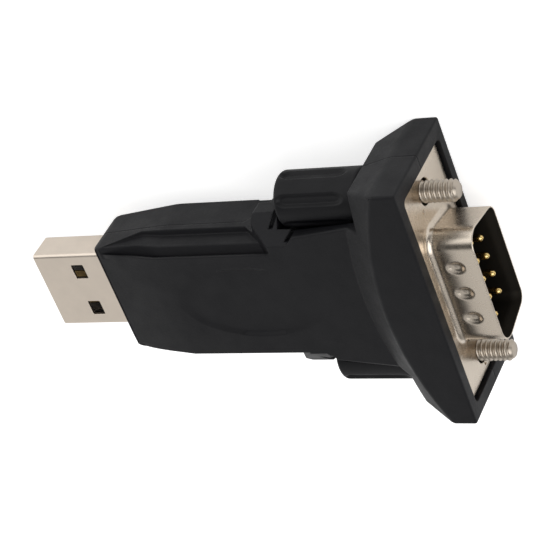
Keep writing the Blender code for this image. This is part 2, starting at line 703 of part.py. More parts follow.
def shell(name, sign, nose_height, blunt_height, shoulder_reach):
    """One half of the housing, drawn as the upper one and turned over for the lower (sign -1)."""
    item = prism(name, plan_outline(shoulder_reach), -OVERLAP, OUTSIDE, "XY")
    boolean(item, side_body(nose_height, blunt_height), "INTERSECT")
    round_outer_edges(item, EDGE_ROUNDING)
    if sign > 0:
        boolean(item, shoulder_ramp(1), "UNION")
        boolean(item, shoulder_ramp(-1), "UNION")
    below = box("below_seam", (-OUTSIDE * 2, OUTSIDE * 2), (-OUTSIDE * 2, OUTSIDE * 2), (-OUTSIDE, SEAM / 2))
    boolean(item, below)
    boolean(item, shoulder_wedges())
    for pocket in pockets():
        boolean(item, pocket)
    for slot in shoulder_slots():
        boolean(item, slot)
    if sign > 0:
        boolean(item, scoop(nose_height, 1, LEFT_LIP_INSET))
        boolean(item, scoop(nose_height, -1, RIGHT_LIP_INSET))
    boolean(item, oval())
    boolean(item, cavity(nose_height))
    boolean(item, board_slot())
    boolean(item, usb_passage(sign))
    boolean(item, connector_seat())
    boolean(item, connector_room())
    boolean(item, screw_holes())
    if sign > 0:
        boolean(item, pegs("peg_holes", PEG_DIAMETER / 2 + PEG_FIT, -OVERLAP, PEG_HEIGHT + 2 * PEG_FIT))
    else:
        boolean(item, pegs("pegs", PEG_DIAMETER / 2, -PEG_HEIGHT, OVERLAP), "UNION")
    return item


def apply_modifiers(item):
    """Replace a piece's mesh by its evaluated one."""
    graph = bpy.context.evaluated_depsgraph_get()
    made = bpy.data.meshes.new_from_object(item.evaluated_get(graph))
    item.modifiers.clear()
    item.data = made
    return item


def turn_over(item):
    """Mirror a piece through the parting plane."""
    apply_modifiers(item)
    item.data.transform(Matrix.Diagonal((1, 1, -1, 1)))
    item.data.flip_normals()
    return item


def build_housing():
    upper = shell("upper_shell", 1, NOSE_TOP, NOSE_BLUNT_TOP, SHOULDER_REACH_TOP)
    lower = turn_over(shell("lower_shell", -1, NOSE_BOTTOM, NOSE_BLUNT_BOTTOM, SHOULDER_REACH_BOTTOM))
    for item in (upper, lower):
        finish(item, HOUSING_BLACK, 0.5)


# USB plug

def build_usb_plug():
    middle = -USB_DROP
    outer = rectangle(USB_WIDTH, USB_HEIGHT, USB_CORNER, 0, middle)
    inner_width = USB_WIDTH - 2 * USB_SHEET
    inner_height = USB_HEIGHT - 2 * USB_SHEET
    inner = rectangle(inner_width, inner_height, USB_CORNER - USB_SHEET, 0, middle)
    tube = prism("usb_shell", outer, X_TIP, X_USB_BACK, "YZ")
    boolean(tube, prism("usb_bore", inner, X_TIP - OVERLAP, X_USB_BACK + OVERLAP, "YZ"))
    x = X_TIP + WINDOW_FROM_TIP
    y = WINDOW_SPACING / 2
    outline = rectangle(WINDOW_LENGTH, WINDOW_WIDTH, WINDOW_CORNER, x, y, 2)
    windows = both_sides(prism_bmesh(outline, middle - USB_HEIGHT, middle + USB_HEIGHT, "XY"))
    boolean(tube, add("windows", windows))
    finish(tube, NICKEL, 0.32, 1.0)

    floor = middle - inner_height / 2 + TONGUE_GAP
    top = floor + TONGUE_THICKNESS
    half = inner_width / 2 - TONGUE_GAP
    tongue = box("usb_tongue", (X_TIP + TONGUE_INSET, X_USB_BACK - TONGUE_BACK), (-half, half), (floor, top))
    ceiling = middle + inner_height / 2 - TONGUE_GAP
    block_start = X_TIP + PLUG_BLOCK_START
    block = box("plug_block", (block_start, X_USB_BACK - PLUG_BLOCK_BACK), (-half, half),
                (floor + PLUG_BLOCK_RISE, ceiling))
    boolean(tongue, block, "UNION")
    grooves = bmesh.new()
    groove = CONTACT_WIDTH / 2 + CONTACT_GROOVE_GAP
    contact_top = top + CONTACT_PROUD
    contact_floor = contact_top - CONTACT_THICKNESS
    for y in CONTACT_PITCHES:
        start = X_TIP + contact_start(y) - CONTACT_GROOVE_GAP
        box_bmesh((start, X_USB_BACK + OVERLAP), (y - groove, y + groove),
                  (contact_floor - CONTACT_GROOVE_GAP, contact_top + CONTACT_GROOVE_GAP), grooves)
    boolean(tongue, add("contact_grooves", grooves))
    finish(tongue, INSULATOR_BLACK, 0.45)

    for index, y in enumerate(CONTACT_PITCHES):
        half = CONTACT_WIDTH / 2
        contact = box(f"usb_contact_{index + 1}", (X_TIP + contact_start(y), X_BOARD_REAR + CONTACT_TAIL),
                      (y - half, y + half), (contact_floor, contact_top))
        finish(contact, GOLD, 0.25, 1.0)


def contact_start(y):
    """The two outer contacts reach further towards the tip."""
    outermost = abs(y) == max(CONTACT_PITCHES)
    return CONTACT_OUTER_START if outermost else CONTACT_INNER_START


# Serial connector

def d_outline(width, height, radius, steps=ARC_STEPS):
    """D shape seen from the front: wide side up, sides slanting in downwards."""
    lean = math.tan(SHELL_SLANT)
    corner = width / 2 - radius + radius * lean + radius / math.cos(SHELL_SLANT)
    foot = corner - height * lean
    a = height / 2
    return rounded([(-foot, -a, radius), (foot, -a, radius), (corner, a, radius), (-corner, a, radius)], steps)


def d_grown(spread):
    return d_outline(SHELL_WIDTH + 2 * spread, SHELL_HEIGHT + 2 * spread, SHELL_CORNER + spread)


def ring_at(x, outline):
    return [Vector((x, u, v)) for u, v in outline]


def dimple_places():
    """Middles of the pressed dimples: three on the wide side, two on the narrow one."""
    wide = [(DIMPLE_PITCH * (i - 1), SHELL_HEIGHT / 2) for i in range(3)]
    narrow = [(DIMPLE_PITCH * (i - 0.5), -SHELL_HEIGHT / 2) for i in range(2)]
    return wide + narrow


def dimples(name, radii):
    bm = bmesh.new()
    for y, z in dimple_places():
        size = Matrix.Diagonal((*radii, 1))
        place = Matrix.Translation((X_FRONT - DIMPLE_FROM_FRONT, y, z))
        bmesh.ops.create_uvsphere(bm, u_segments=16, v_segments=10, radius=1, matrix=place @ size)
    return add(name, bm)


def plate_with_holes(name, back, front):
    plate = prism(name, rectangle(PLATE_WIDTH, PLATE_HEIGHT, PLATE_CORNER), back, front, "YZ")
    holes = rod_bmesh(PLATE_HOLE_DIAMETER / 2, back - OVERLAP, front + OVERLAP, SCREW_Y)
    return plate, add(f"{name}_holes", both_sides(holes))


def build_serial_front():
    plate, holes = plate_with_holes("serial_front_shell", X_PLATE_BACK, X_PLATE)
    rings = [ring_at(X_PLATE - PLATE_SHEET / 2, d_grown(SHELL_ROOT))]
    for step in range(ARC_STEPS + 1):
        angle = math.pi / 2 * step / ARC_STEPS
        spread = SHELL_ROOT * (1 - math.sin(angle))
        rings.append(ring_at(X_PLATE + SHELL_ROOT * (1 - math.cos(angle)), d_grown(spread)))
    rings.append(ring_at(X_FRONT - SHELL_EDGE_LENGTH, d_grown(0)))
    rings.append(ring_at(X_FRONT, d_grown(-SHELL_EDGE_DEPTH)))
    boolean(plate, loft("serial_drawn_wall", rings), "UNION")
    span = (X_PLATE_BACK - 2 * OVERLAP, X_FRONT + 2 * OVERLAP)
    bore = loft("serial_bore", [ring_at(x, d_grown(-SHELL_SHEET)) for x in span])
    boolean(bore, dimples("dimple_backs", DIMPLE_BACK))
    boolean(plate, bore)
    boolean(plate, dimples("dimple_faces", DIMPLE_FACE))
    boolean(plate, holes)
    finish(plate, NICKEL, 0.28, 1.0)


def build_serial_rear():
    plate, holes = plate_with_holes("serial_rear_shell", X_REAR_PLATE_BACK, X_REAR_PLATE)
    collar = d_grown(SHELL_SHEET)
    rings = [ring_at(x, collar) for x in (X_REAR_PLATE_BACK - REAR_COLLAR, X_REAR_PLATE - PLATE_SHEET / 2)]
    boolean(plate, loft("serial_collar", rings), "UNION")
    bore = [ring_at(x, d_grown(0)) for x in (X_REAR_PLATE_BACK - OUTSIDE / 4, X_REAR_PLATE + OUTSIDE / 4)]
    boolean(plate, loft("serial_rear_bore", bore))
    boolean(plate, holes)
    finish(plate, NICKEL, 0.3, 1.0)


def pin_places():
    """Nine pins: a row of five on the wide side, a row of four below it."""
    places = []
    for count, z in ((WIDE_ROW_PINS, PIN_ROW_SPACING / 2), (NARROW_ROW_PINS, -PIN_ROW_SPACING / 2)):
        for index in range(count):
            places.append((PIN_PITCH * ((count - 1) / 2 - index), z))
    return places


def build_insulator():
    front = d_grown(-SHELL_SHEET - INSULATOR_FIT)
    middle = d_grown(INSULATOR_FLANGE_SPREAD)
    rear = d_grown(-INSULATOR_FIT)
    flange_front = X_PLATE_BACK - STACK_GAP
    front_span = (flange_front - JOIN, X_PLATE + INSULATOR_RISE)
    block = loft("serial_insulator", [ring_at(x, front) for x in front_span])
    flange_rear = flange_front - INSULATOR_FLANGE
    boolean(block, loft("insulator_flange", [ring_at(x, middle) for x in (flange_rear, flange_front)]), "UNION")
    rear_span = (X_INSULATOR_BACK, flange_rear + JOIN)
    boolean(block, loft("insulator_rear", [ring_at(x, rear) for x in rear_span]), "UNION")
    holes = bmesh.new()
    for y, z in pin_places():
        rod_bmesh(PIN_DIAMETER / 2 + PIN_FIT, X_INSULATOR_BACK - OVERLAP, X_FRONT, y, z, SMALL_STEPS, holes)
    boolean(block, add("pin_holes", holes))
    finish(block, INSULATOR_BLACK, 0.55)


def build_pins():
    radius = PIN_DIAMETER / 2
    tail = PIN_TAIL_DIAMETER / 2
    start = X_INSULATOR_BACK - PIN_TAIL
    length = X_FRONT - PIN_RECESS - start
    tip = []
    for step in range(ARC_STEPS):
        angle = math.pi / 2 * step / (ARC_STEPS - 1)
        tip.append((radius * math.sin(angle), length - radius * PIN_TIP_STRETCH * (1 - math.cos(angle))))
    profile = tip + [(radius, PIN_TAIL + PIN_TAIL_TAPER), (tail, PIN_TAIL), (tail, 0), (0, 0)]
    for index, (y, z) in enumerate(pin_places()):
        pin = turned(f"serial_pin_{index + 1}", profile, start, y, steps=SMALL_STEPS)
        pin.location.z = z
        finish(pin, GOLD, 0.22, 1.0, 40)


# Thumbscrews

def build_thumbscrew(side, sign):
    """Knob moulded on a screw; both turn about the empty on the screw's axis."""
    axis = empty(f"{side}_thumbscrew", ADAPTER, (X_KNOB_REAR, sign * SCREW_Y, 0))
    radius = KNOB_DIAMETER / 2
    bore = THREAD_DIAMETER / 2 + SCREW_FIT
    profile = [
        (0, KNOB_FLOOR), (bore, KNOB_FLOOR), (bore, KNOB_LENGTH), (radius - KNOB_CHAMFER, KNOB_LENGTH),
        (radius, KNOB_LENGTH - KNOB_CHAMFER), (radius, KNOB_CHAMFER), (radius - KNOB_CHAMFER, 0), (0, 0),
    ]
    knob = turned(f"{side}_knob", profile, 0, 0, axis, ROUND_STEPS + 16)
    slots = bmesh.new()
    outline = rectangle(GRIP_SLOT_LENGTH, GRIP_SLOT_WIDTH, GRIP_SLOT_WIDTH * 0.499,
                        GRIP_SLOT_REAR + GRIP_SLOT_LENGTH / 2, 0)
    for index in range(GRIP_SLOTS):
        turn = Matrix.Rotation(2 * math.pi * index / GRIP_SLOTS - math.pi / 2, 4, "X")
        single = prism_bmesh(outline, radius - GRIP_SLOT_DEPTH, radius + OVERLAP, "XY")
        bmesh.ops.transform(single, matrix=turn, verts=single.verts)
        mesh = bpy.data.meshes.new("grip_slot")
        single.to_mesh(mesh)
        single.free()
        slots.from_mesh(mesh)
    boolean(knob, add(f"{side}_grip_slots", slots, axis))
    finish(knob, KNOB_BLACK, 0.45)

    end = X_PLATE + SCREW_REACH - X_KNOB_REAR
    start = KNOB_FLOOR + SCREW_FIT
    thread = THREAD_DIAMETER / 2
    neck = NECK_DIAMETER / 2
    shank = [
        (0, end), (thread - SCREW_TIP_CHAMFER, end), (thread, end - SCREW_TIP_CHAMFER),
        (thread, end - THREAD_LENGTH), (neck, end - THREAD_LENGTH - NECK_TAPER),
        (neck, KNOB_LENGTH + NECK_TAPER), (thread, KNOB_LENGTH - NECK_SINK), (thread, start), (0, start),
    ]
    screw = turned(f"{side}_screw", shank, 0, 0, axis, ROUND_STEPS - 8)
    finish(screw, NICKEL, 0.35, 1.0)


# Circuit board

def build_board():
    outline = rectangle(X_BOARD_FRONT - X_BOARD_REAR, BOARD_WIDTH, BOARD_CORNER,
                        (X_BOARD_FRONT + X_BOARD_REAR) / 2, 0, 2)
    board = prism("circuit_board", outline, -BOARD_THICKNESS / 2, BOARD_THICKNESS / 2, "XY")
    finish(board, (0.02, 0.16, 0.07), 0.4)


def chip(name, x):
    """A chip with gull-wing leads along both long sides, on the board's upper face."""
    foot = BOARD_THICKNESS / 2 + SOLDER_GAP
    bottom = foot + CHIP_STANDOFF
    body = box(name, (x - CHIP_LENGTH / 2, x + CHIP_LENGTH / 2), (-CHIP_WIDTH / 2, CHIP_WIDTH / 2),
               (bottom, bottom + CHIP_THICKNESS))
    middle = bottom + CHIP_THICKNESS / 2
    inner = CHIP_WIDTH / 2 - LEAD_ROOT
    bend = CHIP_WIDTH / 2 + LEAD_BEND
    toe = CHIP_WIDTH / 2 + LEAD_REACH
    t = LEAD_THICKNESS
    wing = [
        (inner, middle), (bend, middle), (bend + t / 2, foot + t), (toe, foot + t), (toe, foot),
        (bend - t / 2, foot), (bend - t, middle - t), (inner, middle - t),
    ]
    leads = bmesh.new()
    for index in range(CHIP_LEADS):
        place = x + CHIP_PITCH * (index - (CHIP_LEADS - 1) / 2)
        prism_bmesh(wing, place - LEAD_WIDTH / 2, place + LEAD_WIDTH / 2, "YZ", leads)
    boolean(body, add(f"{name}_leads", both_sides(leads)), "UNION")
    return finish(body, (0.02, 0.02, 0.022), 0.5)


def blocks(name, size, places, above, colour, roughness, metallic=0.0):
    """Small parts of one size on one face of the board."""
    length, width, height = size
    foot = BOARD_THICKNESS / 2 + SOLDER_GAP
    span = (foot, foot + height) if above else (-foot - height, -foot)
    for index, (x, y) in enumerate(places):
        numbered = f"{name}_{index + 1}" if len(places) > 1 else name
        block = box(numbered, (x - length / 2, x + length / 2), (y - width / 2, y + width / 2), span)
        finish(block, colour, roughness, metallic)


def build_electronics():
    transceiver_x = X_BOARD_FRONT - PIN_TAIL - PIN_TAIL_GAP - CHIP_LENGTH / 2
    interface_x = transceiver_x - CHIP_LENGTH - CAPACITOR_SIZE[0] - 2 * PART_GAP
    chip("line_transceiver", transceiver_x)
    chip("usb_interface", interface_x)
    between = (transceiver_x + interface_x) / 2
    spread = BOARD_WIDTH - 2 * CAPACITOR_EDGE
    row = [(between, spread * (index / (CAPACITORS - 1) - 0.5)) for index in range(CAPACITORS)]
    blocks("capacitor", CAPACITOR_SIZE, row, True, (0.45, 0.33, 0.2), 0.45)
    fuse_x = X_BOARD_REAR + CONTACT_TAIL + FUSE_SIZE[0] / 2 + FUSE_GAP
    blocks("input_fuse", FUSE_SIZE, [(fuse_x, 0)], False, (0.05, 0.12, 0.05), 0.5)
    blocks("crystal", CRYSTAL_SIZE, [(interface_x, 0)], False, (0.6, 0.6, 0.6), 0.3, 1.0)
    step = RESISTOR_SIZE[0] + RESISTOR_GAP
    line = [(transceiver_x + step * (index - (RESISTORS - 1) / 2), 0) for index in range(RESISTORS)]
    blocks("resistor", RESISTOR_SIZE, line, False, (0.03, 0.03, 0.03), 0.5)


build_housing()
build_usb_plug()
build_serial_front()
build_serial_rear()
build_insulator()
build_pins()
build_thumbscrew("left", 1)
build_thumbscrew("right", -1)
build_board()
build_electronics()
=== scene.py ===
"""Looks of a USB to serial adapter, laid out as a Blender add-on and run as a script.

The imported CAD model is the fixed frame: X runs from the USB plug to the serial plug, Y across the
flange, Z is up. All lengths are metres. Each operator dresses one group of pieces.
"""

import math

import bmesh
import bpy
from bpy.props import FloatProperty, FloatVectorProperty, IntProperty, PointerProperty
from mathutils import Matrix, Vector


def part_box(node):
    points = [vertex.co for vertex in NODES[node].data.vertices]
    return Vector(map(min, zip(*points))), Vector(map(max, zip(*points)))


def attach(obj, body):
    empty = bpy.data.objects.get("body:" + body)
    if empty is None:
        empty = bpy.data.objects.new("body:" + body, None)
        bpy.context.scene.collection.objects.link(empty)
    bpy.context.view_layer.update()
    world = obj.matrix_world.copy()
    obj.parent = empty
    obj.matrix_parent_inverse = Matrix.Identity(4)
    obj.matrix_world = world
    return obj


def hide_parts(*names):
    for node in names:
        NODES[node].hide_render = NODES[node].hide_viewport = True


bl_info = {
    "name": "USB to serial adapter",
    "version": (1, 0, 0),
    "blender": (4, 5, 0),
    "location": "3D View > Sidebar > Adapter",
    "description": "Dresses the adapter's CAD model with finished pieces, materials and a studio",
    "category": "Add Mesh",
}

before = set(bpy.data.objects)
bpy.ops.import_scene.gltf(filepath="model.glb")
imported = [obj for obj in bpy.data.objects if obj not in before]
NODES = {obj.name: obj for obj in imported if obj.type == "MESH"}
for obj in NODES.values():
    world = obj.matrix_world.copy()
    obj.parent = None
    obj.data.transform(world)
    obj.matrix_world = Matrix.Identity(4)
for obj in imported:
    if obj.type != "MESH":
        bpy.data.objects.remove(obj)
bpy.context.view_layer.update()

MM = 0.001
PLATE_LOW, PLATE_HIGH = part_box("serial_front_shell")
USB_LOW, USB_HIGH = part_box("usb_shell")
MIDDLE_Z = (PLATE_LOW.z + PLATE_HIGH.z) / 2
SIDES = ("left", "right")


# Settings

def length_setting(name, description, default, least=0.0):
    return FloatProperty(name=name, description=description, default=default, min=least, unit="LENGTH",
                         precision=5)


def colour_setting(name, description, default):
    return FloatVectorProperty(name=name, description=description, default=default, min=0, max=1, size=3,
                               subtype="COLOR")


class HousingSettings(bpy.types.PropertyGroup):
    """Moulded housing."""
    edge_softness: length_setting("Edge softness", "Rounding of the moulding's fine edges", 0.10 * MM)
    shaded_edge: length_setting("Shaded edge", "Radius over which the shading rounds an edge", 0.28 * MM)
    colour: colour_setting("Plastic", "Colour of the black plastic", (0.0060, 0.0061, 0.0076))
    roughness: FloatProperty(
        name="Roughness", description="Roughness of the spark-eroded surface",
        default=0.5, min=0, max=1, subtype="FACTOR")
    grain: length_setting("Grain", "Size of the surface texture's grains", 0.22 * MM, 0.01 * MM)
    grain_depth: length_setting("Grain depth", "Depth of the surface texture", 0.012 * MM)


class ThumbscrewSettings(bpy.types.PropertyGroup):
    """Knobs and their screws."""
    slots: IntProperty(
        name="Grip slots", description="Lengthwise slots around each knob", default=6, min=1)
    slot_length: length_setting("Slot length", "Length of a grip slot", 7.8 * MM)
    slot_width: length_setting("Slot width", "Width of a grip slot", 1.4 * MM)
    slot_depth: length_setting("Slot depth", "Depth of a grip slot", 0.4 * MM)
    rear_rounding: length_setting("Rear rounding", "Radius of the knob's rear edge", 0.45 * MM)
    thread_pitch: length_setting("Thread pitch", "Distance between the screw's turns", 0.635 * MM, 0.1 * MM)
    thread_depth: length_setting("Thread depth", "Depth of the thread", 0.36 * MM)


class SerialSettings(bpy.types.PropertyGroup):
    """Serial connector."""
    wall: length_setting("Sheet", "Thickness of the drawn shell", 0.45 * MM)
    root: length_setting("Root radius", "Radius where the shell leaves its plate", 0.8 * MM)
    dimple_depth: length_setting("Dimple depth", "Depth of the pressed dimples", 0.32 * MM)
    metal: colour_setting("Nickel", "Colour of the nickel plate", (0.69, 0.61, 0.515))
    gold: colour_setting("Gold", "Colour of the gold plated contacts", (0.80, 0.58, 0.24))


class UsbSettings(bpy.types.PropertyGroup):
    """USB plug."""
    metal: colour_setting("Plug plate", "Colour of the plug's plated steel", (0.73, 0.645, 0.555))
    seam: length_setting("Seam", "Width of the folded shell's seam", 0.06 * MM)


class StageSettings(bpy.types.PropertyGroup):
    """Floor, lights and camera."""
    floor: colour_setting("Floor", "Colour of the floor", (0.86, 0.86, 0.86))
    key_power: FloatProperty(
        name="Key light", description="Power of the lamp high in front of the serial plug",
        default=2.2, min=0.0, unit="POWER")
    side_power: FloatProperty(
        name="Side light", description="Power of the wide low lamp beyond the left thumbscrew",
        default=1.6, min=0.0, unit="POWER")
    lens: FloatProperty(
        name="Lens", description="Camera's focal length in millimetres", default=138.475, min=1.0)


# Nodes

def node_adder(tree):
    """A function that adds a node to a tree, its inputs given by name, or by number as i0, i1 and so on."""
    def node(kind, settings=None, **inputs):
        item = tree.nodes.new(kind)
        for key, value in (settings or {}).items():
            setattr(item, key, value)
        for key, value in inputs.items():
            numbered = key[0] == "i" and key[1:].isdigit()
            socket = item.inputs[int(key[1:]) if numbered else key.replace("_", " ")]
            if isinstance(value, bpy.types.NodeSocket):
                tree.links.new(value, socket)
            else:
                socket.default_value = value
        return item

    return node


def calculate(node, operation, *values):
    """Result of a math node."""
    inputs = {f"i{index}": value for index, value in enumerate(values)}
    return node("ShaderNodeMath", {"operation": operation}, **inputs).outputs[0]


def remap(node, value, low, high, start=0.0, end=1.0):
    """Map a value from one range to another, kept inside it."""
    return node("ShaderNodeMapRange", None, Value=value, From_Min=low, From_Max=high, To_Min=start,
                To_Max=end).outputs["Result"]


# Materials

NOISE_RANGE = (0.3, 0.7)        # noise keeps mostly within this
CLOUD_SIZE = 9 * MM             # uneven colour of a moulding
SMEAR_SIZE = 3 * MM             # handling marks
STAIN_SIZE = 2.6 * MM
TRACE_GRID = 9 * MM
TIN = (0.62, 0.62, 0.6)         # the chips' leads
END_CAP = (0.6, 0.6, 0.58)      # ends of capacitors, resistors and the like


def new_material(name, roughness, metallic=0.0, specular=0.5):
    """A new material, a function that adds nodes to it, and the object's own coordinates."""
    made = bpy.data.materials.new(name)
    made.use_nodes = True
    shader = made.node_tree.nodes["Principled BSDF"]
    shader.inputs["Roughness"].default_value = roughness
    shader.inputs["Metallic"].default_value = metallic
    shader.inputs["Specular IOR Level"].default_value = specular
    node = node_adder(made.node_tree)
    return made, node, node("ShaderNodeTexCoord").outputs["Object"]


def wire_surface(made, **results):
    """Wire results to the inputs of a material's shader."""
    shader = made.node_tree.nodes["Principled BSDF"]
    for key, result in results.items():
        made.node_tree.links.new(result, shader.inputs[key.replace("_", " ")])
    return made


def noise(node, coordinates, size, detail=3.0, roughness=0.55):
    """Noise whose features are about the given size."""
    return node("ShaderNodeTexNoise", None, Vector=coordinates, Scale=1 / size, Detail=detail,
                Roughness=roughness).outputs["Fac"]


def spread(node, value, low, high):
    """Map noise to a range."""
    return remap(node, value, *NOISE_RANGE, low, high)


def blend(node, factor, first, second):
    """One colour or another by a factor; each is a socket or a colour."""
    ends = [value if isinstance(value, bpy.types.NodeSocket) else (*value, 1) for value in (first, second)]
    return node("ShaderNodeMix", {"data_type": "RGBA"}, i0=factor, i6=ends[0], i7=ends[1]).outputs[2]


def bumped(node, height, strength, depth, **normal):
    """Normals over a height of the given depth."""
    return node("ShaderNodeBump", None, Strength=strength, Distance=depth, Height=height,
                **normal).outputs["Normal"]


def shade(colour, factor):
    return tuple(min(1.0, part * factor) for part in colour)


def moulded_plastic(name, colour, roughness, grain, grain_depth, specular=0.22, edge=0.0):
    """Moulded plastic: fine spark-eroded grain, uneven sheen and faint handling marks."""
    made, node, spot = new_material(name, roughness, 0.0, specular)
    cloud = spread(node, noise(node, spot, CLOUD_SIZE, 4.0), 0.0, 1.0)
    speckle = noise(node, spot, grain, 2.0, 0.6)
    smear = spread(node, noise(node, spot, SMEAR_SIZE, 5.0), roughness - 0.07, roughness + 0.07)
    pores = node("ShaderNodeTexVoronoi", {"feature": "SMOOTH_F1"}, Vector=spot, Scale=0.6 / grain)
    height = calculate(node, "MULTIPLY_ADD", pores.outputs["Distance"], 0.35, speckle)
    rounded_normal = {}
    if edge:
        rounded_normal["Normal"] = node("ShaderNodeBevel", {"samples": 6}, Radius=edge).outputs["Normal"]
    return wire_surface(
        made,
        Base_Color=blend(node, cloud, shade(colour, 0.9), shade(colour, 1.12)),
        Roughness=calculate(node, "ADD", spread(node, speckle, -0.04, 0.04), smear),
        Normal=bumped(node, height, 0.6, grain_depth, **rounded_normal))


def plated_metal(name, colour, roughness, stretch=(1, 1, 1), scratch=0.12 * MM, depth=0.0003 * MM, haze=0.03):
    """Plated sheet metal: drawn or rolled streaks, uneven haze and faint stains."""
    made, node, spot = new_material(name, roughness, 1.0)
    streaks = node("ShaderNodeMapping", None, Vector=spot, Scale=stretch).outputs["Vector"]
    grain = noise(node, streaks, scratch, 4.0, 0.65)
    stain = noise(node, spot, STAIN_SIZE, 5.0)
    return wire_surface(
        made,
        Base_Color=blend(node, spread(node, stain, 0.0, 1.0), shade(colour, 0.95), shade(colour, 1.03)),
        Roughness=calculate(node, "ADD", spread(node, grain, -haze * 0.5, haze * 0.5),
                            spread(node, stain, roughness - haze, roughness + haze)),
        Normal=bumped(node, grain, 0.5, depth))


def solder_mask(name):
    """Green board: traces show through the mask as lighter raised lines."""
    made, node, spot = new_material(name, 0.35)
    traces = node("ShaderNodeTexBrick", {"offset": 0.5}, Vector=spot, Scale=1 / TRACE_GRID,
                  Mortar_Size=0.02).outputs["Fac"]
    return wire_surface(
        made,
        Base_Color=blend(node, traces, (0.012, 0.11, 0.045), (0.03, 0.20, 0.09)),
        Roughness=spread(node, noise(node, spot, 0.4 * MM), 0.28, 0.42),
        Normal=bumped(node, traces, 0.5, 0.03 * MM))


def beyond(node, spot, axis, middle, reach):
    """1 where a point is further from the middle along an axis than the reach, else 0."""
    along = node("ShaderNodeSeparateXYZ", None, Vector=spot).outputs[axis]
    away = calculate(node, "ABSOLUTE", calculate(node, "SUBTRACT", along, middle))
    return calculate(node, "GREATER_THAN", away, reach)


def chip_package(name, body_half_width):
    """Black moulded package with tinned leads beyond its sides."""
    made, node, spot = new_material(name, 0.5)
    lead = beyond(node, spot, "Y", 0.0, body_half_width)
    speckle = noise(node, spot, 0.15 * MM)
    resin = blend(node, speckle, (0.016, 0.016, 0.017), (0.028, 0.028, 0.03))
    return wire_surface(
        made,
        Base_Color=blend(node, lead, resin, TIN),
        Metallic=lead,
        Roughness=spread(node, speckle, 0.4, 0.55),
        Normal=bumped(node, speckle, 0.4, 0.01 * MM))


def chip_component(name, colour, middle_x, cap_start):
    """Speckled coating in the middle of a small part, and tinned end caps from cap_start outwards."""
    made, node, spot = new_material(name, 0.45)
    cap = beyond(node, spot, "X", middle_x, cap_start)
    speckle = noise(node, spot, 0.2 * MM)
    coating = blend(node, speckle, shade(colour, 0.8), shade(colour, 1.15))
    return wire_surface(
        made,
        Base_Color=blend(node, cap, coating, END_CAP),
        Metallic=cap,
        Roughness=spread(node, speckle, 0.35, 0.5))


# Meshes

JOIN_DISTANCE = 0.002 * MM
SLIVER = 0.004 * MM
FLAT_ANGLE = math.radians(0.6)
SEAM_REACH = 0.15 * MM      # points this near the parting plane belong to it
SEAM_SHARE = 0.2            # share of the gap between the shells that stays open


def mesh_object(name, bm):
    """Turn a bmesh into an object of the scene, its place in its mesh."""
    mesh = bpy.data.meshes.new(name)
    bm.to_mesh(mesh)
    bm.free()
    item = bpy.data.objects.new(name, mesh)
    bpy.context.scene.collection.objects.link(item)
    return item


def shade_round(item, angle):
    """Shade faces smooth, apart from edges sharper than an angle in degrees."""
    item.data.shade_smooth()
    item.data.set_sharp_from_angle(angle=math.radians(angle))


def smooth(item, angle=32):
    """Shade round faces smooth, and let flat faces keep their own normals."""
    shade_round(item, angle)
    weighted = item.modifiers.new("face weighted normals", "WEIGHTED_NORMAL")
    weighted.keep_sharp = True


def plain_mesh(item):
    """Replace an object's mesh by its evaluated one and drop the modifiers."""
    graph = bpy.context.evaluated_depsgraph_get()
    made = bpy.data.meshes.new_from_object(item.evaluated_get(graph))
    item.modifiers.clear()
    item.data = made
    return item


def wear(item, material):
    item.data.materials.clear()
    item.data.materials.append(material)
    return item


def hand_over(item, body, slot, *replaced):
    """Hand a finished piece to the frame."""
    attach(item, body)
    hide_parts(*replaced)


def merged_copy(node, name):
    """A copy of a CAD node's triangles with its points joined and its flat faces whole."""
    bm = bmesh.new()
    bm.from_mesh(NODES[node].data)
    bmesh.ops.remove_doubles(bm, verts=bm.verts, dist=JOIN_DISTANCE)
    bmesh.ops.dissolve_degenerate(bm, dist=SLIVER, edges=bm.edges)
    bmesh.ops.dissolve_limit(bm, angle_limit=FLAT_ANGLE, verts=bm.verts, edges=bm.edges)
    return mesh_object(name, bm)


def soften(item, width, segments=2, angle=34, crisp_at=None):
    """Round the sharp edges of a mesh, apart from those at a parting height."""
    bm = bmesh.new()
    bm.from_mesh(item.data)

    def at_parting(edge):
        return crisp_at is not None and all(abs(vert.co.z - crisp_at) < SEAM_REACH for vert in edge.verts)

    sharp = [edge for edge in bm.edges if edge.is_manifold and not at_parting(edge)
             and abs(edge.calc_face_angle_signed()) > math.radians(angle)]
    bmesh.ops.bevel(bm, geom=sharp, offset=width, segments=segments, profile=0.5, affect="EDGES",
                    clamp_overlap=True, loop_slide=True)
    bm.to_mesh(item.data)
    bm.free()


def rounded(corners, steps):
    """A closed outline from (u, v, radius) corners, each corner turned by an arc of its radius."""
    points = []
    count = len(corners)
    for index, (u, v, radius) in enumerate(corners):
        corner = Vector((u, v))
        before = (Vector(corners[index - 1][:2]) - corner).normalized()
        after = (Vector(corners[(index + 1) % count][:2]) - corner).normalized()
        half = before.angle(after) / 2
        centre = corner + (before + after).normalized() * radius / math.sin(half)
        first = corner + before * radius / math.tan(half) - centre
        last = corner + after * radius / math.tan(half) - centre
        turn = first.angle_signed(last)
        for step in range(steps + 1):
            points.append(centre + Matrix.Rotation(-turn * step / steps, 2) @ first)
    return points


def rectangle(width, height, radius, u, v, steps=8):
    a, b = width / 2, height / 2
    corners = [(u - a, v - b), (u + a, v - b), (u + a, v + b), (u - a, v + b)]
    return rounded([(*corner, radius) for corner in corners], steps)


def circle(radius, u, v, count=48):
    turns = [2 * math.pi * index / count for index in range(count)]
    return [Vector((u + radius * math.cos(turn), v + radius * math.sin(turn))) for turn in turns]


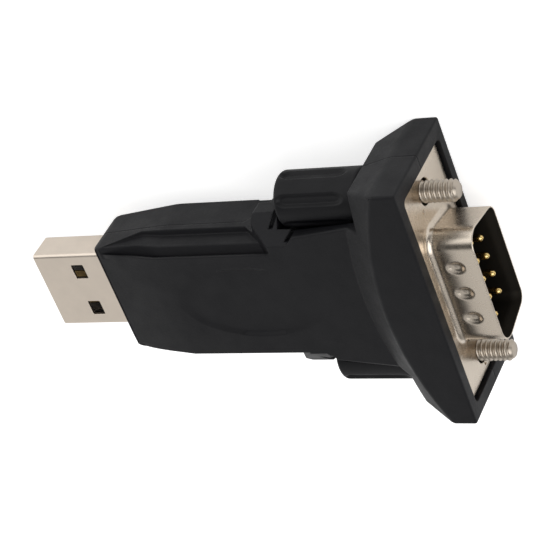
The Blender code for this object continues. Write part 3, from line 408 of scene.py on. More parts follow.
def quarter_turn(steps):
    """Sine and cosine at even steps from 0 to 90 degrees."""
    angles = [math.pi / 2 * step / steps for step in range(steps + 1)]
    return [(math.sin(angle), math.cos(angle)) for angle in angles]


def ring(bm, x, outline):
    """Points of an outline across X."""
    return [bm.verts.new((x, u, v)) for u, v in outline]


def bridge(bm, first, second):
    """Faces between two rings of equal point counts."""
    count = len(first)
    for i in range(count):
        j = (i + 1) % count
        bm.faces.new((first[i], first[j], second[j], second[i]))


def skin(bm, rings):
    for first, second in zip(rings, rings[1:]):
        bridge(bm, first, second)


def flat_fill(bm, loops):
    """Fill the flat area between closed loops of points."""
    edges = []
    for loop in loops:
        for pair in zip(loop, loop[1:] + loop[:1]):
            edges.append(bm.edges.get(pair) or bm.edges.new(pair))
    bmesh.ops.triangle_fill(bm, use_beauty=True, use_dissolve=False, edges=edges)


def facing_out(bm):
    bmesh.ops.remove_doubles(bm, verts=bm.verts, dist=0.0005 * MM)
    bmesh.ops.recalc_face_normals(bm, faces=bm.faces)
    return bm


def smoothstep(value, low, high):
    t = min(1.0, max(0.0, (value - low) / (high - low)))
    return t * t * (3 - 2 * t)


# Housing

def close_seam(item):
    """Draw the faces at the parting plane together to a hairline."""
    for vert in item.data.vertices:
        above = vert.co.z - MIDDLE_Z
        if abs(above) < SEAM_REACH:
            vert.co.z = MIDDLE_Z + above * SEAM_SHARE


class ADAPTER_OT_housing(bpy.types.Operator):
    """Dress the two moulded shells of the housing"""
    bl_idname = "adapter.housing"
    bl_label = "Housing"

    def execute(self, context):
        settings = context.scene.adapter_housing
        plastic = moulded_plastic("black_moulded_plastic", settings.colour, settings.roughness,
                                  settings.grain, settings.grain_depth, edge=settings.shaded_edge)
        for half in ("upper", "lower"):
            item = merged_copy(f"{half}_shell", f"{half}_housing")
            close_seam(item)
            soften(item, settings.edge_softness, crisp_at=MIDDLE_Z)
            smooth(item)
            wear(item, plastic)
            hand_over(item, "housing", "housing", f"{half}_shell")
        return {"FINISHED"}


# USB plug

USB_SHEET = 0.3 * MM
USB_CORNER = 0.5 * MM
USB_INNER_CORNER = 0.05 * MM    # smallest radius inside the sheet's bends
USB_LIP = 0.1 * MM              # rounding of the mouth's edge
USB_EDGE = 0.04 * MM            # softening of the windows' and the seam's edges
USB_MOUTH_LENGTH = 12 * MM      # part of the tube that the windows are cut in
USB_CORNER_STEPS = 10
USB_LIP_STEPS = 4
WINDOW = (1.9 * MM, 2.3 * MM)
WINDOW_CORNER = 0.16 * MM
WINDOW_FROM_TIP = 6.45 * MM
WINDOW_SPACING = 6.2 * MM
SEAM_KEYS = (10.2 * MM, 3.4 * MM)       # dovetail keys of the seam, from the tip
SEAM_KEY_SHAPE = ((1.1, 0.0), (1.3, 1.0), (-0.3, 1.0), (-0.1, 0.0))     # in millimetres
SEAM_DEPTH = 0.12 * MM
CUTTER_SPARE = 1 * MM                   # cutters reach this far past the plug


def prism_cutter(name, outlines, low, high):
    """Upright prisms for cutting, from outlines seen from above."""
    bm = bmesh.new()
    for outline in outlines:
        base = [bm.verts.new((u, v, low)) for u, v in outline]
        top = [bm.verts.new((u, v, high)) for u, v in outline]
        bridge(bm, base, top)
        bm.faces.new(base)
        bm.faces.new(top)
    return mesh_object(name, facing_out(bm))


def cut(item, *cutters):
    """Cut shapes out of an object, and remove them from the scene."""
    for cutter in cutters:
        step = item.modifiers.new(cutter.name, "BOOLEAN")
        step.operation = "DIFFERENCE"
        step.solver = "EXACT"
        step.object = cutter
    plain_mesh(item)
    for cutter in cutters:
        bpy.data.objects.remove(cutter, do_unlink=True)
    return item


def usb_tube():
    """Folded sheet tube with rolled edges at its mouth."""
    bm = bmesh.new()
    width = USB_HIGH.y - USB_LOW.y
    height = USB_HIGH.z - USB_LOW.z
    middle = (USB_HIGH.z + USB_LOW.z) / 2
    lip = USB_LIP

    def outline(inset):
        corner = max(USB_CORNER - inset, USB_INNER_CORNER)
        return rectangle(width - 2 * inset, height - 2 * inset, corner, 0, middle, USB_CORNER_STEPS)

    rings = [ring(bm, USB_HIGH.x, outline(0)), ring(bm, USB_LOW.x + USB_MOUTH_LENGTH, outline(0))]
    rolled = quarter_turn(USB_LIP_STEPS)
    for sine, cosine in rolled:
        rings.append(ring(bm, USB_LOW.x + lip * (1 - sine), outline(lip * (1 - cosine))))
    for sine, cosine in reversed(rolled):
        rings.append(ring(bm, USB_LOW.x + lip * (1 - sine), outline(USB_SHEET - lip * (1 - cosine))))
    rings.append(ring(bm, USB_HIGH.x, outline(USB_SHEET)))
    rings.append(rings[0])
    skin(bm, rings)
    return mesh_object("usb_plug_shell", facing_out(bm))


def usb_windows():
    """Cutter for the two windows through both broad sides."""
    x = USB_LOW.x + WINDOW_FROM_TIP
    outlines = [rectangle(*WINDOW, WINDOW_CORNER, x, side * WINDOW_SPACING / 2, steps=4) for side in (1, -1)]
    return prism_cutter("windows", outlines, USB_LOW.z - CUTTER_SPARE, USB_HIGH.z + CUTTER_SPARE)


def ribbon(path, width):
    """Outline of a line of the given width along a path, mitred at its corners."""
    near, far = [], []
    for index, point in enumerate(path):
        before = (point - path[index - 1]).normalized() if index else None
        after = (path[index + 1] - point).normalized() if index < len(path) - 1 else before
        before = before or after
        along = (before + after).normalized()
        across = Vector((-along.y, along.x)) * (width / 2 / along.dot(after))
        near.append(point + across)
        far.append(point - across)
    return near + far[::-1]


def usb_seam(width):
    """Cutter for the zigzag line of the dovetailed fold on the underside."""
    path = [Vector((USB_HIGH.x + CUTTER_SPARE, 0.0))]
    for start in SEAM_KEYS:
        path += [Vector((USB_LOW.x + start + u * MM, v * MM)) for u, v in SEAM_KEY_SHAPE]
    path.append(Vector((USB_LOW.x - CUTTER_SPARE, 0.0)))
    return prism_cutter("seam", [ribbon(path, width)], USB_LOW.z - CUTTER_SPARE / 2, USB_LOW.z + SEAM_DEPTH)


class ADAPTER_OT_usb_plug(bpy.types.Operator):
    """Make the USB plug's folded shell and dress its tongue and contacts"""
    bl_idname = "adapter.usb_plug"
    bl_label = "USB plug"

    def execute(self, context):
        settings = context.scene.adapter_usb
        plate = plated_metal("satin_nickel_plug", settings.metal, roughness=0.34, stretch=(0.05, 1, 1))
        item = cut(usb_tube(), usb_windows(), usb_seam(settings.seam))
        soften(item, USB_EDGE, segments=1, angle=50)
        smooth(item)
        wear(item, plate)
        hand_over(item, "housing", "plug_shell", "usb_shell")
        black = moulded_plastic("black_plug_tongue", (0.02, 0.02, 0.021), roughness=0.42, grain=0.3 * MM,
                                grain_depth=0.006 * MM, specular=0.5)
        wear(NODES["usb_tongue"], black)
        # the pins' gold darkened to 30%: painted shade on the contacts inside the plug's shell, seen through
        # its windows
        gold = plated_metal("gold_wiper_painted_shade", shade(context.scene.adapter_serial.gold, 0.3), roughness=0.45,
                            stretch=(0.1, 1, 1))
        for number in range(1, 5):
            wear(NODES[f"usb_contact_{number}"], gold)
        return {"FINISHED"}


# Serial connector

PLATE_FACE = 27.1 * MM
PLATE_SHEET = 0.6 * MM
PLATE_CORNER = 0.8 * MM
PLATE_HOLE = 3.4 * MM
PLATE_EDGE = 0.08 * MM          # softening of the plate's edges and holes
SCREW_Y = 12.5 * MM
SHELL_WIDTH = 16.9 * MM
SHELL_HEIGHT = 8.36 * MM
WIDE_CORNER = 2.2 * MM
NARROW_CORNER = 1.6 * MM
CORNER_STEPS = 14
SIDE_STEPS = (59, 19, 58, 19)   # narrow, right, wide and left straight sides
SHELL_ROWS = 24
ARC_STEPS = 8                   # for the shell's root and its mouth
MOUTH_WALL = 0.2 * MM
MOUTH_FLARE = 1.6 * MM
SHELL_SLANT = math.radians(10)
DIMPLE_PITCH = 3.9 * MM
DIMPLE_FROM_FRONT = 2.9 * MM
DIMPLE_HALF_WIDTH = 1.0 * MM
DIMPLE_REAR = 1.6 * MM
DIMPLE_FRONT = 1.15 * MM
DIMPLE_FLAT = 0.35              # share of a dimple that is level
DIMPLES_WIDE = (-1, 0, 1)       # in pitches from the middle
DIMPLES_NARROW = (-0.5, 0.5)
PITS = ((10.9 * MM, 2.0 * MM), (-14.4 * MM, 0.2 * MM))      # punch marks in the plate, from its middle
PIT_RADIUS = 0.32 * MM
PIT_FLOOR_RADIUS = 0.24 * MM
PIT_DEPTH = 0.25 * MM


def d_outline(grow):
    """D shape across X, wide side up, with closely spaced points on its straight sides."""
    radius = WIDE_CORNER + grow
    narrow = NARROW_CORNER + grow
    lean = math.tan(SHELL_SLANT)
    wide = SHELL_WIDTH / 2 + grow - radius + radius * lean + radius / math.cos(SHELL_SLANT)
    foot = wide - (SHELL_HEIGHT + 2 * grow) * lean
    a = SHELL_HEIGHT / 2 + grow
    corners = [(-foot, -a, narrow), (foot, -a, narrow), (wide, a, radius), (-wide, a, radius)]
    base = rounded(corners, CORNER_STEPS)
    per_corner = CORNER_STEPS + 1
    points = []
    for side, steps in enumerate(SIDE_STEPS):
        arc = base[side * per_corner:(side + 1) * per_corner]
        points += arc
        start, end = arc[-1], base[(side + 1) * per_corner % len(base)]
        points += [start.lerp(end, step / steps) for step in range(1, steps)]
    return [Vector((u, v + MIDDLE_Z)) for u, v in points]


def dimple(x, y, z, depth):
    """How far the wide or narrow side is pressed in at a point."""
    middle_x = PLATE_HIGH.x - DIMPLE_FROM_FRONT
    along = (x - middle_x) / (DIMPLE_REAR if x < middle_x else DIMPLE_FRONT)
    pressed = 0.0
    for place in DIMPLES_WIDE if z > MIDDLE_Z else DIMPLES_NARROW:
        across = abs(y - place * DIMPLE_PITCH) / DIMPLE_HALF_WIDTH
        pressed = max(pressed, 1 - smoothstep(math.hypot(across, along), DIMPLE_FLAT, 1.0))
    return depth * pressed


def serial_front(settings):
    """Plate and drawn shell of the serial connector in one closed mesh, its inside in a second material that
    holds painted shade.
    """
    bm = bmesh.new()
    front = PLATE_HIGH.x
    root = settings.root
    wall = settings.wall
    lip = MOUTH_WALL / 2
    start = PLATE_FACE + root
    end = front - lip
    back = PLATE_FACE - PLATE_SHEET

    def drawn(x, grow, depth=0.0, narrow_side=True):
        """A ring of the shell, pressed in at the dimples, on the narrow side only if it is asked for."""
        points = []
        for u, v in d_outline(grow):
            sign = 1 if v > MIDDLE_Z else -1
            if abs(v - MIDDLE_Z) > SHELL_HEIGHT / 2 - wall - 0.001 * MM and (sign > 0 or narrow_side):
                v -= sign * dimple(x, u, v, depth)
            points.append((u, v))
        return ring(bm, x, points)

    rings = []
    for sine, cosine in quarter_turn(ARC_STEPS):
        rings.append(drawn(PLATE_FACE + root * (1 - cosine), root * (1 - sine)))
    for row in range(1, SHELL_ROWS + 1):
        rings.append(drawn(start + (end - start) * row / SHELL_ROWS, 0, settings.dimple_depth))
    for step in range(1, ARC_STEPS + 1):
        angle = math.pi * step / ARC_STEPS
        rings.append(drawn(end + lip * math.sin(angle), -lip + lip * math.cos(angle)))
    first_inside = len(rings) - 3
    for row in range(1, SHELL_ROWS + 1):
        x = end + (start - end) * row / SHELL_ROWS
        thick = MOUTH_WALL + (wall - MOUTH_WALL) * smoothstep(front - x, 0, MOUTH_FLARE)
        rings.append(drawn(x, -thick, settings.dimple_depth, narrow_side=False))
    rings.append(drawn(back, -wall))
    skin(bm, rings)
    # faces inside the shell get the second material, a near-black nickel that paints the shade inside the
    # mouth
    inside = {vert for inner in rings[first_inside:] for vert in inner}
    for face in bm.faces:
        if inside.issuperset(face.verts):
            face.material_index = 1

    width = PLATE_HIGH.y - PLATE_LOW.y
    height = PLATE_HIGH.z - PLATE_LOW.z

    def edge(inset):
        return rectangle(width - 2 * inset, height - 2 * inset, PLATE_CORNER - inset, 0, MIDDLE_Z)

    def stepped(*steps):
        """Rings that run back from the plate's face, skinned; each step is a place along X and an outline."""
        made = [ring(bm, x, outline) for x, outline in steps]
        skin(bm, made)
        return made

    border = stepped((PLATE_FACE, edge(PLATE_EDGE)), (PLATE_FACE - PLATE_EDGE, edge(0)), (back, edge(0)))
    front_loops = [border[0], rings[0]]
    back_loops = [border[-1], rings[-1]]
    for sign in (1, -1):
        hole = circle(PLATE_HOLE / 2, sign * SCREW_Y, MIDDLE_Z)
        mouth = circle(PLATE_HOLE / 2 + PLATE_EDGE, sign * SCREW_Y, MIDDLE_Z)
        bored = stepped((PLATE_FACE, mouth), (PLATE_FACE - PLATE_EDGE, hole), (back, hole))
        front_loops.append(bored[0])
        back_loops.append(bored[-1])
    for y, z in PITS:
        mouth = circle(PIT_RADIUS, y, MIDDLE_Z + z, count=20)
        floor = circle(PIT_FLOOR_RADIUS, y, MIDDLE_Z + z, count=20)
        pit = stepped((PLATE_FACE, mouth), (PLATE_FACE - PIT_DEPTH, floor))
        bm.faces.new(pit[1])
        front_loops.append(pit[0])
    flat_fill(bm, front_loops)
    flat_fill(bm, back_loops)
    return mesh_object("serial_front", facing_out(bm))


class ADAPTER_OT_serial_connector(bpy.types.Operator):
    """Make the serial connector's drawn shell and dress its insulator and rear shell"""
    bl_idname = "adapter.serial_connector"
    bl_label = "Serial connector"

    def execute(self, context):
        settings = context.scene.adapter_serial
        nickel = plated_metal("bright_nickel_shell", settings.metal, roughness=0.27, stretch=(0.25, 1, 1))
        # the inside is the nickel darkened to a twentieth on a rougher finish: painted shade inside the
        # shell's mouth
        inside = plated_metal("shell_inside_painted_shade", shade(settings.metal, 0.05), roughness=0.6)
        item = serial_front(settings)
        smooth(item, angle=40)
        item.data.materials.append(nickel)
        item.data.materials.append(inside)
        hand_over(item, "housing", "serial_shell", "serial_front_shell")
        wear(NODES["serial_rear_shell"], nickel)
        black = moulded_plastic("black_insulator", (0.008, 0.008, 0.0085), roughness=0.55, grain=0.25 * MM,
                                grain_depth=0.008 * MM, specular=0.3)
        wear(NODES["serial_insulator"], black)
        return {"FINISHED"}


# Rods grown by geometry nodes

def rod_tree(name, defaults, fill, vertices, radius_at):
    """A tree that puts a rod on every point, running back along X from it.

    The defaults are the inputs' names and values. The rod is a cylinder of radius 1, and radius_at
    gives the rod's own radius at each of the cylinder's points.
    """
    tree = bpy.data.node_groups.new(name, "GeometryNodeTree")
    tree.interface.new_socket(name="Geometry", in_out="INPUT", socket_type="NodeSocketGeometry")
    for label, value in defaults.items():
        kind = "NodeSocketInt" if isinstance(value, int) else "NodeSocketFloat"
        tree.interface.new_socket(name=label, in_out="INPUT", socket_type=kind).default_value = value
    tree.interface.new_socket(name="Material", in_out="INPUT", socket_type="NodeSocketMaterial")
    tree.interface.new_socket(name="Geometry", in_out="OUTPUT", socket_type="NodeSocketGeometry")
    node = node_adder(tree)
    given = tree.nodes.new("NodeGroupInput").outputs
    body = node("GeometryNodeMeshCylinder", {"fill_type": fill}, Vertices=vertices, Radius=1.0,
                Side_Segments=given["Rows"], Depth=given["Length"])
    position = node("GeometryNodeInputPosition").outputs[0]
    spot = node("ShaderNodeSeparateXYZ", None, Vector=position).outputs
    half = calculate(node, "MULTIPLY", given["Length"], 0.5)
    from_tip = calculate(node, "SUBTRACT", half, spot["Z"])
    radius = radius_at(node, given, from_tip, spot)
    shaped = node("ShaderNodeCombineXYZ", None, X=calculate(node, "MULTIPLY", from_tip, -1.0),
                  Y=calculate(node, "MULTIPLY", spot["X"], radius),
                  Z=calculate(node, "MULTIPLY", spot["Y"], radius))
    moved = node("GeometryNodeSetPosition", None, Geometry=body.outputs["Mesh"], Position=shaped.outputs[0])
    rods = node("GeometryNodeInstanceOnPoints", None, Points=given["Geometry"],
                Instance=moved.outputs["Geometry"])
    real = node("GeometryNodeRealizeInstances", None, Geometry=rods.outputs["Instances"])
    painted = node("GeometryNodeSetMaterial", None, Geometry=real.outputs["Geometry"],
                   Material=given["Material"])
    node("NodeGroupOutput", None, Geometry=painted.outputs["Geometry"])
    return tree


def grown_by(tree, name, points, values):
    """Evaluate a tree on a few points and keep the result as a plain mesh."""
    mesh = bpy.data.meshes.new(name)
    mesh.from_pydata(points, [], [])
    item = bpy.data.objects.new(name, mesh)
    bpy.context.scene.collection.objects.link(item)
    step = item.modifiers.new("grow", "NODES")
    step.node_group = tree
    for part in tree.interface.items_tree:
        if part.in_out == "INPUT" and part.name in values:
            step[part.identifier] = values[part.name]
    plain_mesh(item)
    item.data.name = name
    return item


def front_middle(name):
    """Middle of a CAD node's front end."""
    low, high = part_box(name)
    return high.x, (low.y + high.y) / 2, (low.z + high.z) / 2


PIN = {
    "Diameter": 1.0 * MM, "Length": 16.0 * MM, "Tail Diameter": 0.7 * MM, "Tail Length": 3.0 * MM,
    "Tip Length": 0.75 * MM, "Rows": 96,
}
PIN_TIP_FLAT = 0.0004       # square of the share of the radius that the tip's flat end has


def pin_radius(node, given, from_tip, spot):
    """Round tip, full radius and slimmer tail."""
    share = calculate(node, "MINIMUM", calculate(node, "DIVIDE", from_tip, given["Tip Length"]), 1.0)
    inverse = calculate(node, "SUBTRACT", 1.0, share)
    left = calculate(node, "SUBTRACT", 1.0, calculate(node, "MULTIPLY", inverse, inverse))
    dome = calculate(node, "SQRT", calculate(node, "MAXIMUM", left, PIN_TIP_FLAT))
    radius = calculate(node, "MULTIPLY", given["Diameter"], 0.5)
    tail = calculate(node, "MULTIPLY", given["Tail Diameter"], 0.5)
    from_end = calculate(node, "ADD", calculate(node, "MULTIPLY", given["Length"], 0.5), spot["Z"])
    is_tail = calculate(node, "LESS_THAN", from_end, given["Tail Length"])
    slimmer = calculate(node, "MULTIPLY", is_tail, calculate(node, "SUBTRACT", radius, tail))
    return calculate(node, "SUBTRACT", calculate(node, "MULTIPLY", dome, radius), slimmer)


class ADAPTER_OT_pins(bpy.types.Operator):
    """Grow the nine serial pins at the places of their CAD nodes"""
    bl_idname = "adapter.pins"
    bl_label = "Serial pins"

    def execute(self, context):
        gold = plated_metal("gold_pins", context.scene.adapter_serial.gold, roughness=0.2,
                            stretch=(0.2, 1, 1))
        names = [f"serial_pin_{number}" for number in range(1, 10)]
        low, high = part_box(names[0])
        tree = rod_tree("contact_pins", PIN, fill="NGON", vertices=32, radius_at=pin_radius)
        item = grown_by(tree, "serial_pins", [front_middle(name) for name in names], {
            **PIN, "Diameter": high.z - low.z, "Length": high.x - low.x, "Material": gold,
        })
        shade_round(item, angle=50)
        hand_over(item, "housing", "contacts", *names)
        return {"FINISHED"}


# Thumbscrews

KNOB_BORE = 1.5 * MM
KNOB_FLOOR = 1.6 * MM           # plastic behind the bore
KNOB_FRONT_ROUNDING = 0.45 * MM
KNOB_HUB = 0.4 * MM             # radius of the flat face in the middle of the rear end
KNOB_REAR_SHARE = 0.6           # a ring of points at this share of the rear end's flat part
KNOB_POINTS = 252
KNOB_ROWS = 84
KNOB_REAR_STEPS = 8
KNOB_FRONT_STEPS = 6
SLOT_REAR = 1.1 * MM            # slot's rear end, from the knob's
SLOT_WALL_INSIDE = 0.3 * MM     # slot's wall slopes from here inside its edge
SLOT_WALL_OUTSIDE = 0.2 * MM
SLOT_END_STRETCH = 0.55         # below 1, a slot's ends run out longer than its sides
SCREW = {
    "Diameter": 2.84 * MM, "Thread Depth": 0.36 * MM, "Pitch": 0.635 * MM, "Length": 8.0 * MM,
    "Thread Length": 7.0 * MM, "Tip Chamfer": 0.5 * MM, "Rows": 200,
}
ROWS_PER_TURN = 9
CREST = 0.12                    # share of half a pitch that is the thread's flat crest
GROOVE = 0.86                   # its flat groove starts at this share
NECK_TAPER = 0.3 * MM           # half the length in which the thread runs out


def knob_mesh(name, settings, low, high):
    """A knob turned about X, its wall pressed in along round-ended grip slots."""
    bm = bmesh.new()
    radius = (high.z - low.z) / 2
    length = high.x - low.x
    middle = (low + high) / 2
    rear = settings.rear_rounding
    front = KNOB_FRONT_ROUNDING
    slot_middle = SLOT_REAR + settings.slot_length / 2
    slot_straight = (settings.slot_length - settings.slot_width) / 2
    wall_low = settings.slot_width / 2 - SLOT_WALL_INSIDE
    wall_high = settings.slot_width / 2 + SLOT_WALL_OUTSIDE
    start, end = rear, length - front
    profile = [
        (rear * (1 - cosine), radius - rear * (1 - sine))
        for sine, cosine in quarter_turn(KNOB_REAR_STEPS)
    ]
    profile += [(start + (end - start) * row / KNOB_ROWS, radius) for row in range(1, KNOB_ROWS)]
    for sine, cosine in quarter_turn(KNOB_FRONT_STEPS):
        profile.append((end + front * sine, radius - front * (1 - cosine)))

    def depth(x, angle):
        """Pressed depth at a distance from the rear and an angle."""
        pitch = 2 * math.pi / settings.slots
        across = ((angle + pitch / 2) % pitch - pitch / 2) * radius
        along = max(abs(x - slot_middle) - slot_straight, 0.0) * SLOT_END_STRETCH
        return settings.slot_depth * (1 - smoothstep(math.hypot(across, along), wall_low, wall_high))

    def turned(x, r, pressed=False):
        points = []
        for i in range(KNOB_POINTS):
            angle = 2 * math.pi * i / KNOB_POINTS
            here = r - (min(depth(x, angle), r * 0.5) if pressed else 0.0)
            points.append((middle.y + here * math.cos(angle), middle.z + here * math.sin(angle)))
        return ring(bm, low.x + x, points)

    rings = [turned(0, KNOB_HUB), turned(0, (radius - rear) * KNOB_REAR_SHARE)]
    rings += [turned(x, r, True) for x, r in profile]
    rings += [turned(length, KNOB_BORE), turned(KNOB_FLOOR, KNOB_BORE)]
    skin(bm, rings)
    bm.faces.new(rings[0])
    bm.faces.new(rings[-1])
    return mesh_object(name, facing_out(bm))


def thread_radius(node, given, from_tip, spot):
    """Thread's ridges along a helix, then the plain neck; both give way to the tip's chamfer."""
    turns = calculate(node, "DIVIDE", calculate(node, "ARCTAN2", spot["Y"], spot["X"]), 2 * math.pi)
    pitches = calculate(node, "DIVIDE", from_tip, given["Pitch"])
    phase = calculate(node, "FRACT", calculate(node, "ADD", pitches, calculate(node, "ADD", turns, 1.0)))
    doubled = calculate(node, "MULTIPLY", phase, 2.0)
    wave = calculate(node, "ABSOLUTE", calculate(node, "SUBTRACT", doubled, 1.0))
    groove = calculate(node, "MULTIPLY", remap(node, wave, CREST, GROOVE), given["Thread Depth"])
    past = calculate(node, "SUBTRACT", from_tip, given["Thread Length"])
    neck = calculate(node, "MULTIPLY", remap(node, past, -NECK_TAPER, NECK_TAPER), given["Thread Depth"])
    chamfer = calculate(node, "MAXIMUM", calculate(node, "SUBTRACT", given["Tip Chamfer"], from_tip), 0.0)
    sunk = calculate(node, "MAXIMUM", calculate(node, "MAXIMUM", groove, neck), chamfer)
    return calculate(node, "SUBTRACT", calculate(node, "MULTIPLY", given["Diameter"], 0.5), sunk)


class ADAPTER_OT_thumbscrews(bpy.types.Operator):
    """Make both thumbscrews: slotted knobs on threaded screws"""
    bl_idname = "adapter.thumbscrews"
    bl_label = "Thumbscrews"

    def execute(self, context):
        settings = context.scene.adapter_thumbscrews
        housing = context.scene.adapter_housing
        black = moulded_plastic("black_knob_plastic", shade(housing.colour, 0.8), housing.roughness - 0.02,
                                housing.grain, housing.grain_depth * 0.7)
        steel = plated_metal("nickel_screw", shade(context.scene.adapter_serial.metal, 0.72), roughness=0.36,
                             scratch=0.08 * MM)
        tree = rod_tree("screw_thread", SCREW, fill="TRIANGLE_FAN", vertices=48, radius_at=thread_radius)
        for side in SIDES:
            body = f"{side}_thumbscrew"
            knob = knob_mesh(f"{side}_knob_moulding", settings, *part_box(f"{side}_knob"))
            smooth(knob, angle=50)
            wear(knob, black)
            hand_over(knob, body, "knob", f"{side}_knob")
            cad = f"{side}_screw"
            low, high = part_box(cad)
            length = high.x - low.x
            screw = grown_by(tree, f"{side}_screw_thread", [front_middle(cad)], {
                **SCREW, "Diameter": high.z - low.z, "Thread Depth": settings.thread_depth,
                "Pitch": settings.thread_pitch, "Length": length,
                "Rows": round(length / (settings.thread_pitch / ROWS_PER_TURN)), "Material": steel,
            })
            shade_round(screw, angle=65)
            hand_over(screw, body, "screw", cad)
        return {"FINISHED"}


# Circuit board

CHIP_HALF_WIDTH = 2.66 * MM
CAP_LENGTH = 0.35 * MM
COATINGS = {
    "capacitor": (0.45, 0.33, 0.20), "resistor": (0.03, 0.03, 0.032),
    "input_fuse": (0.05, 0.13, 0.05), "crystal": (0.6, 0.6, 0.58),
}


class ADAPTER_OT_board(bpy.types.Operator):
    """Dress the circuit board and its parts"""
    bl_idname = "adapter.board"
    bl_label = "Circuit board"

    def execute(self, context):
        wear(NODES["circuit_board"], solder_mask("green_solder_mask"))
        for name in ("line_transceiver", "usb_interface"):
            wear(NODES[name], chip_package(f"{name}_package", CHIP_HALF_WIDTH))
        for name, node in NODES.items():
            for prefix, colour in COATINGS.items():
                if name.startswith(prefix):
                    low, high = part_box(name)
                    cap_start = (high.x - low.x) / 2 - CAP_LENGTH
                    wear(node, chip_component(f"{name}_coating", colour, (low.x + high.x) / 2, cap_start))
        return {"FINISHED"}


# Stage

EYE = Vector((137.33 * MM, 149.39 * MM, 199.18 * MM))
LOOK = Vector((-0.48596, -0.53924, -0.6878))
UP = Vector((0.02583, 0.77776, -0.62803))
FLOOR_HALF_SIZE = 3.0
FLOOR_SEEN_BY_CAMERA = 0.62     # light added to the floor for the camera
FLOOR_SEEN_BY_METAL = 0.2       # and for reflections
KEY_PLACE = Vector((0.42, 0.0, 0.42))
KEY_SIZE = 0.6
SIDE_PLACE = Vector((-0.3, 0.474, 0.24))
SIDE_SIZE = 0.9
WORLD_COLOUR = (1.0, 0.995, 0.985)
WORLD_LIGHT = (0.98, 0.0)       # strength behind the USB plug and before the serial plug
GAP_LIGHT = 0.03                # share of it that is left in the dark gap
GAP_DIRECTION = (-0.487, 0.12, 0.865)
GAP_INSIDE = math.radians(13)
GAP_OUTSIDE = math.radians(27)


def aimed(location, look, up):
    """Placing of a camera or light that looks along a direction."""
    back = -look.normalized()
    right = up.cross(back).normalized()
    above = back.cross(right)
    turn = Matrix((right, above, back)).transposed()
    return Matrix.Translation(location) @ turn.to_4x4()


def add_light(name, location, size, power):
    """A square lamp that faces the adapter."""
    lamp = bpy.data.lights.new(name, "AREA")
    lamp.shape = "SQUARE"
    lamp.size = size
    lamp.energy = power
    item = bpy.data.objects.new(name, lamp)
    bpy.context.scene.collection.objects.link(item)
    item.matrix_world = aimed(location, -location, Vector((0, 0, 1)))


def floor_material(colour):
    """Pale floor, lifted to white for the camera and a little for reflections, its shadow kept."""
    made = bpy.data.materials.new("pale_floor")
    made.use_nodes = True
    node = node_adder(made.node_tree)
    shader = made.node_tree.nodes["Principled BSDF"]
    shader.inputs["Base Color"].default_value = (*colour, 1)
    shader.inputs["Roughness"].default_value = 0.9
    shader.inputs["Specular IOR Level"].default_value = 0.1
    rays = node("ShaderNodeLightPath").outputs
    mirrored = calculate(node, "MAXIMUM", rays["Is Glossy Ray"], rays["Is Transmission Ray"])
    seen = calculate(node, "MULTIPLY", rays["Is Camera Ray"], FLOOR_SEEN_BY_CAMERA)
    lift = calculate(node, "MULTIPLY_ADD", mirrored, FLOOR_SEEN_BY_METAL, seen)
    glow = node("ShaderNodeEmission", None, Strength=lift)
    both = node("ShaderNodeAddShader", None, i0=shader.outputs[0], i1=glow.outputs[0])
    made.node_tree.links.new(both.outputs[0], made.node_tree.nodes["Material Output"].inputs["Surface"])
    return made


def light_world():
    """Soft grey studio surroundings, brighter behind the USB plug, with a dark gap between lamps overhead."""
    world = bpy.context.scene.world or bpy.data.worlds.new("studio")
    bpy.context.scene.world = world
    world.use_nodes = True
    world.node_tree.nodes.clear()
    node = node_adder(world.node_tree)
    direction = node("ShaderNodeTexCoord").outputs["Generated"]
    along = node("ShaderNodeSeparateXYZ", None, Vector=direction).outputs["X"]
    towards = node("ShaderNodeVectorMath", {"operation": "DOT_PRODUCT"}, i0=direction, i1=GAP_DIRECTION)
    dimmed = node("ShaderNodeMapRange", {"interpolation_type": "SMOOTHSTEP"}, Value=towards.outputs["Value"],
                  From_Min=math.cos(GAP_OUTSIDE), From_Max=math.cos(GAP_INSIDE), To_Min=1.0, To_Max=GAP_LIGHT)
    level = remap(node, along, -1.0, 1.0, *WORLD_LIGHT)
    strength = calculate(node, "MULTIPLY", level, dimmed.outputs["Result"])
    surround = node("ShaderNodeBackground", None, Color=(*WORLD_COLOUR, 1), Strength=strength)
    node("ShaderNodeOutputWorld", None, Surface=surround.outputs[0])


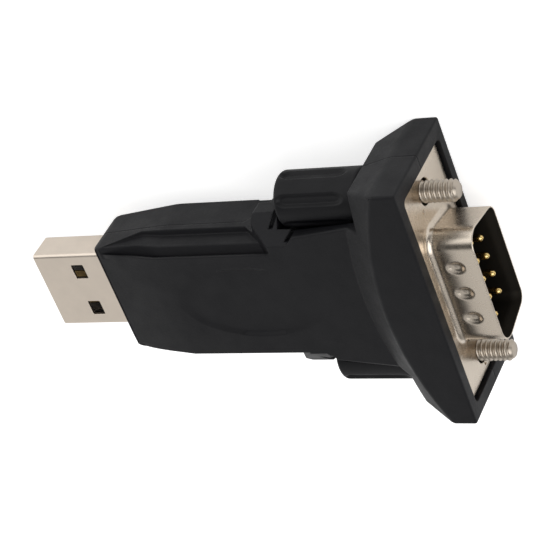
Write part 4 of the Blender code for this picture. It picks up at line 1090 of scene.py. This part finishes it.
class ADAPTER_OT_stage(bpy.types.Operator):
    """Make the floor, the lights and the camera"""
    bl_idname = "adapter.stage"
    bl_label = "Stage"

    def execute(self, context):
        settings = context.scene.adapter_stage
        bm = bmesh.new()
        bmesh.ops.create_grid(bm, x_segments=1, y_segments=1, size=FLOOR_HALF_SIZE)
        wear(mesh_object("floor", bm), floor_material(settings.floor))
        light_world()
        add_light("key_light", KEY_PLACE, KEY_SIZE, settings.key_power)
        add_light("side_light", SIDE_PLACE, SIDE_SIZE, settings.side_power)
        eye = bpy.data.cameras.new("camera")
        eye.lens = settings.lens
        eye.sensor_width = 36
        eye.clip_start = 0.01
        eye.clip_end = 20
        camera = bpy.data.objects.new("camera", eye)
        context.scene.collection.objects.link(camera)
        camera.matrix_world = aimed(EYE, LOOK, UP)
        context.scene.camera = camera
        context.scene.view_settings.view_transform = "Standard"
        return {"FINISHED"}


OPERATORS = (
    ADAPTER_OT_housing, ADAPTER_OT_usb_plug, ADAPTER_OT_serial_connector, ADAPTER_OT_pins,
    ADAPTER_OT_thumbscrews, ADAPTER_OT_board, ADAPTER_OT_stage,
)
SETTINGS = {
    "adapter_housing": HousingSettings,
    "adapter_thumbscrews": ThumbscrewSettings,
    "adapter_serial": SerialSettings,
    "adapter_usb": UsbSettings,
    "adapter_stage": StageSettings,
}


class ADAPTER_PT_build(bpy.types.Panel):
    """Lists the adapter's settings and operators"""
    bl_idname = "ADAPTER_PT_build"
    bl_label = "USB to serial adapter"
    bl_space_type = "VIEW_3D"
    bl_region_type = "UI"
    bl_category = "Adapter"

    def draw(self, context):
        column = self.layout.column()
        for operator in OPERATORS:
            column.operator(operator.bl_idname)
        for name, kind in SETTINGS.items():
            group = getattr(context.scene, name)
            column.separator()
            for key in kind.__annotations__:
                column.prop(group, key)


CLASSES = (*SETTINGS.values(), *OPERATORS, ADAPTER_PT_build)


def register():
    for kind in CLASSES:
        bpy.utils.register_class(kind)
    for name, kind in SETTINGS.items():
        setattr(bpy.types.Scene, name, PointerProperty(type=kind))


def unregister():
    for name in SETTINGS:
        delattr(bpy.types.Scene, name)
    for kind in reversed(CLASSES):
        bpy.utils.unregister_class(kind)


def main():
    register()
    bpy.ops.adapter.housing()
    bpy.ops.adapter.usb_plug()
    bpy.ops.adapter.serial_connector()
    bpy.ops.adapter.pins()
    bpy.ops.adapter.thumbscrews()
    bpy.ops.adapter.board()
    bpy.ops.adapter.stage()


if __name__ == "__main__":
    main()
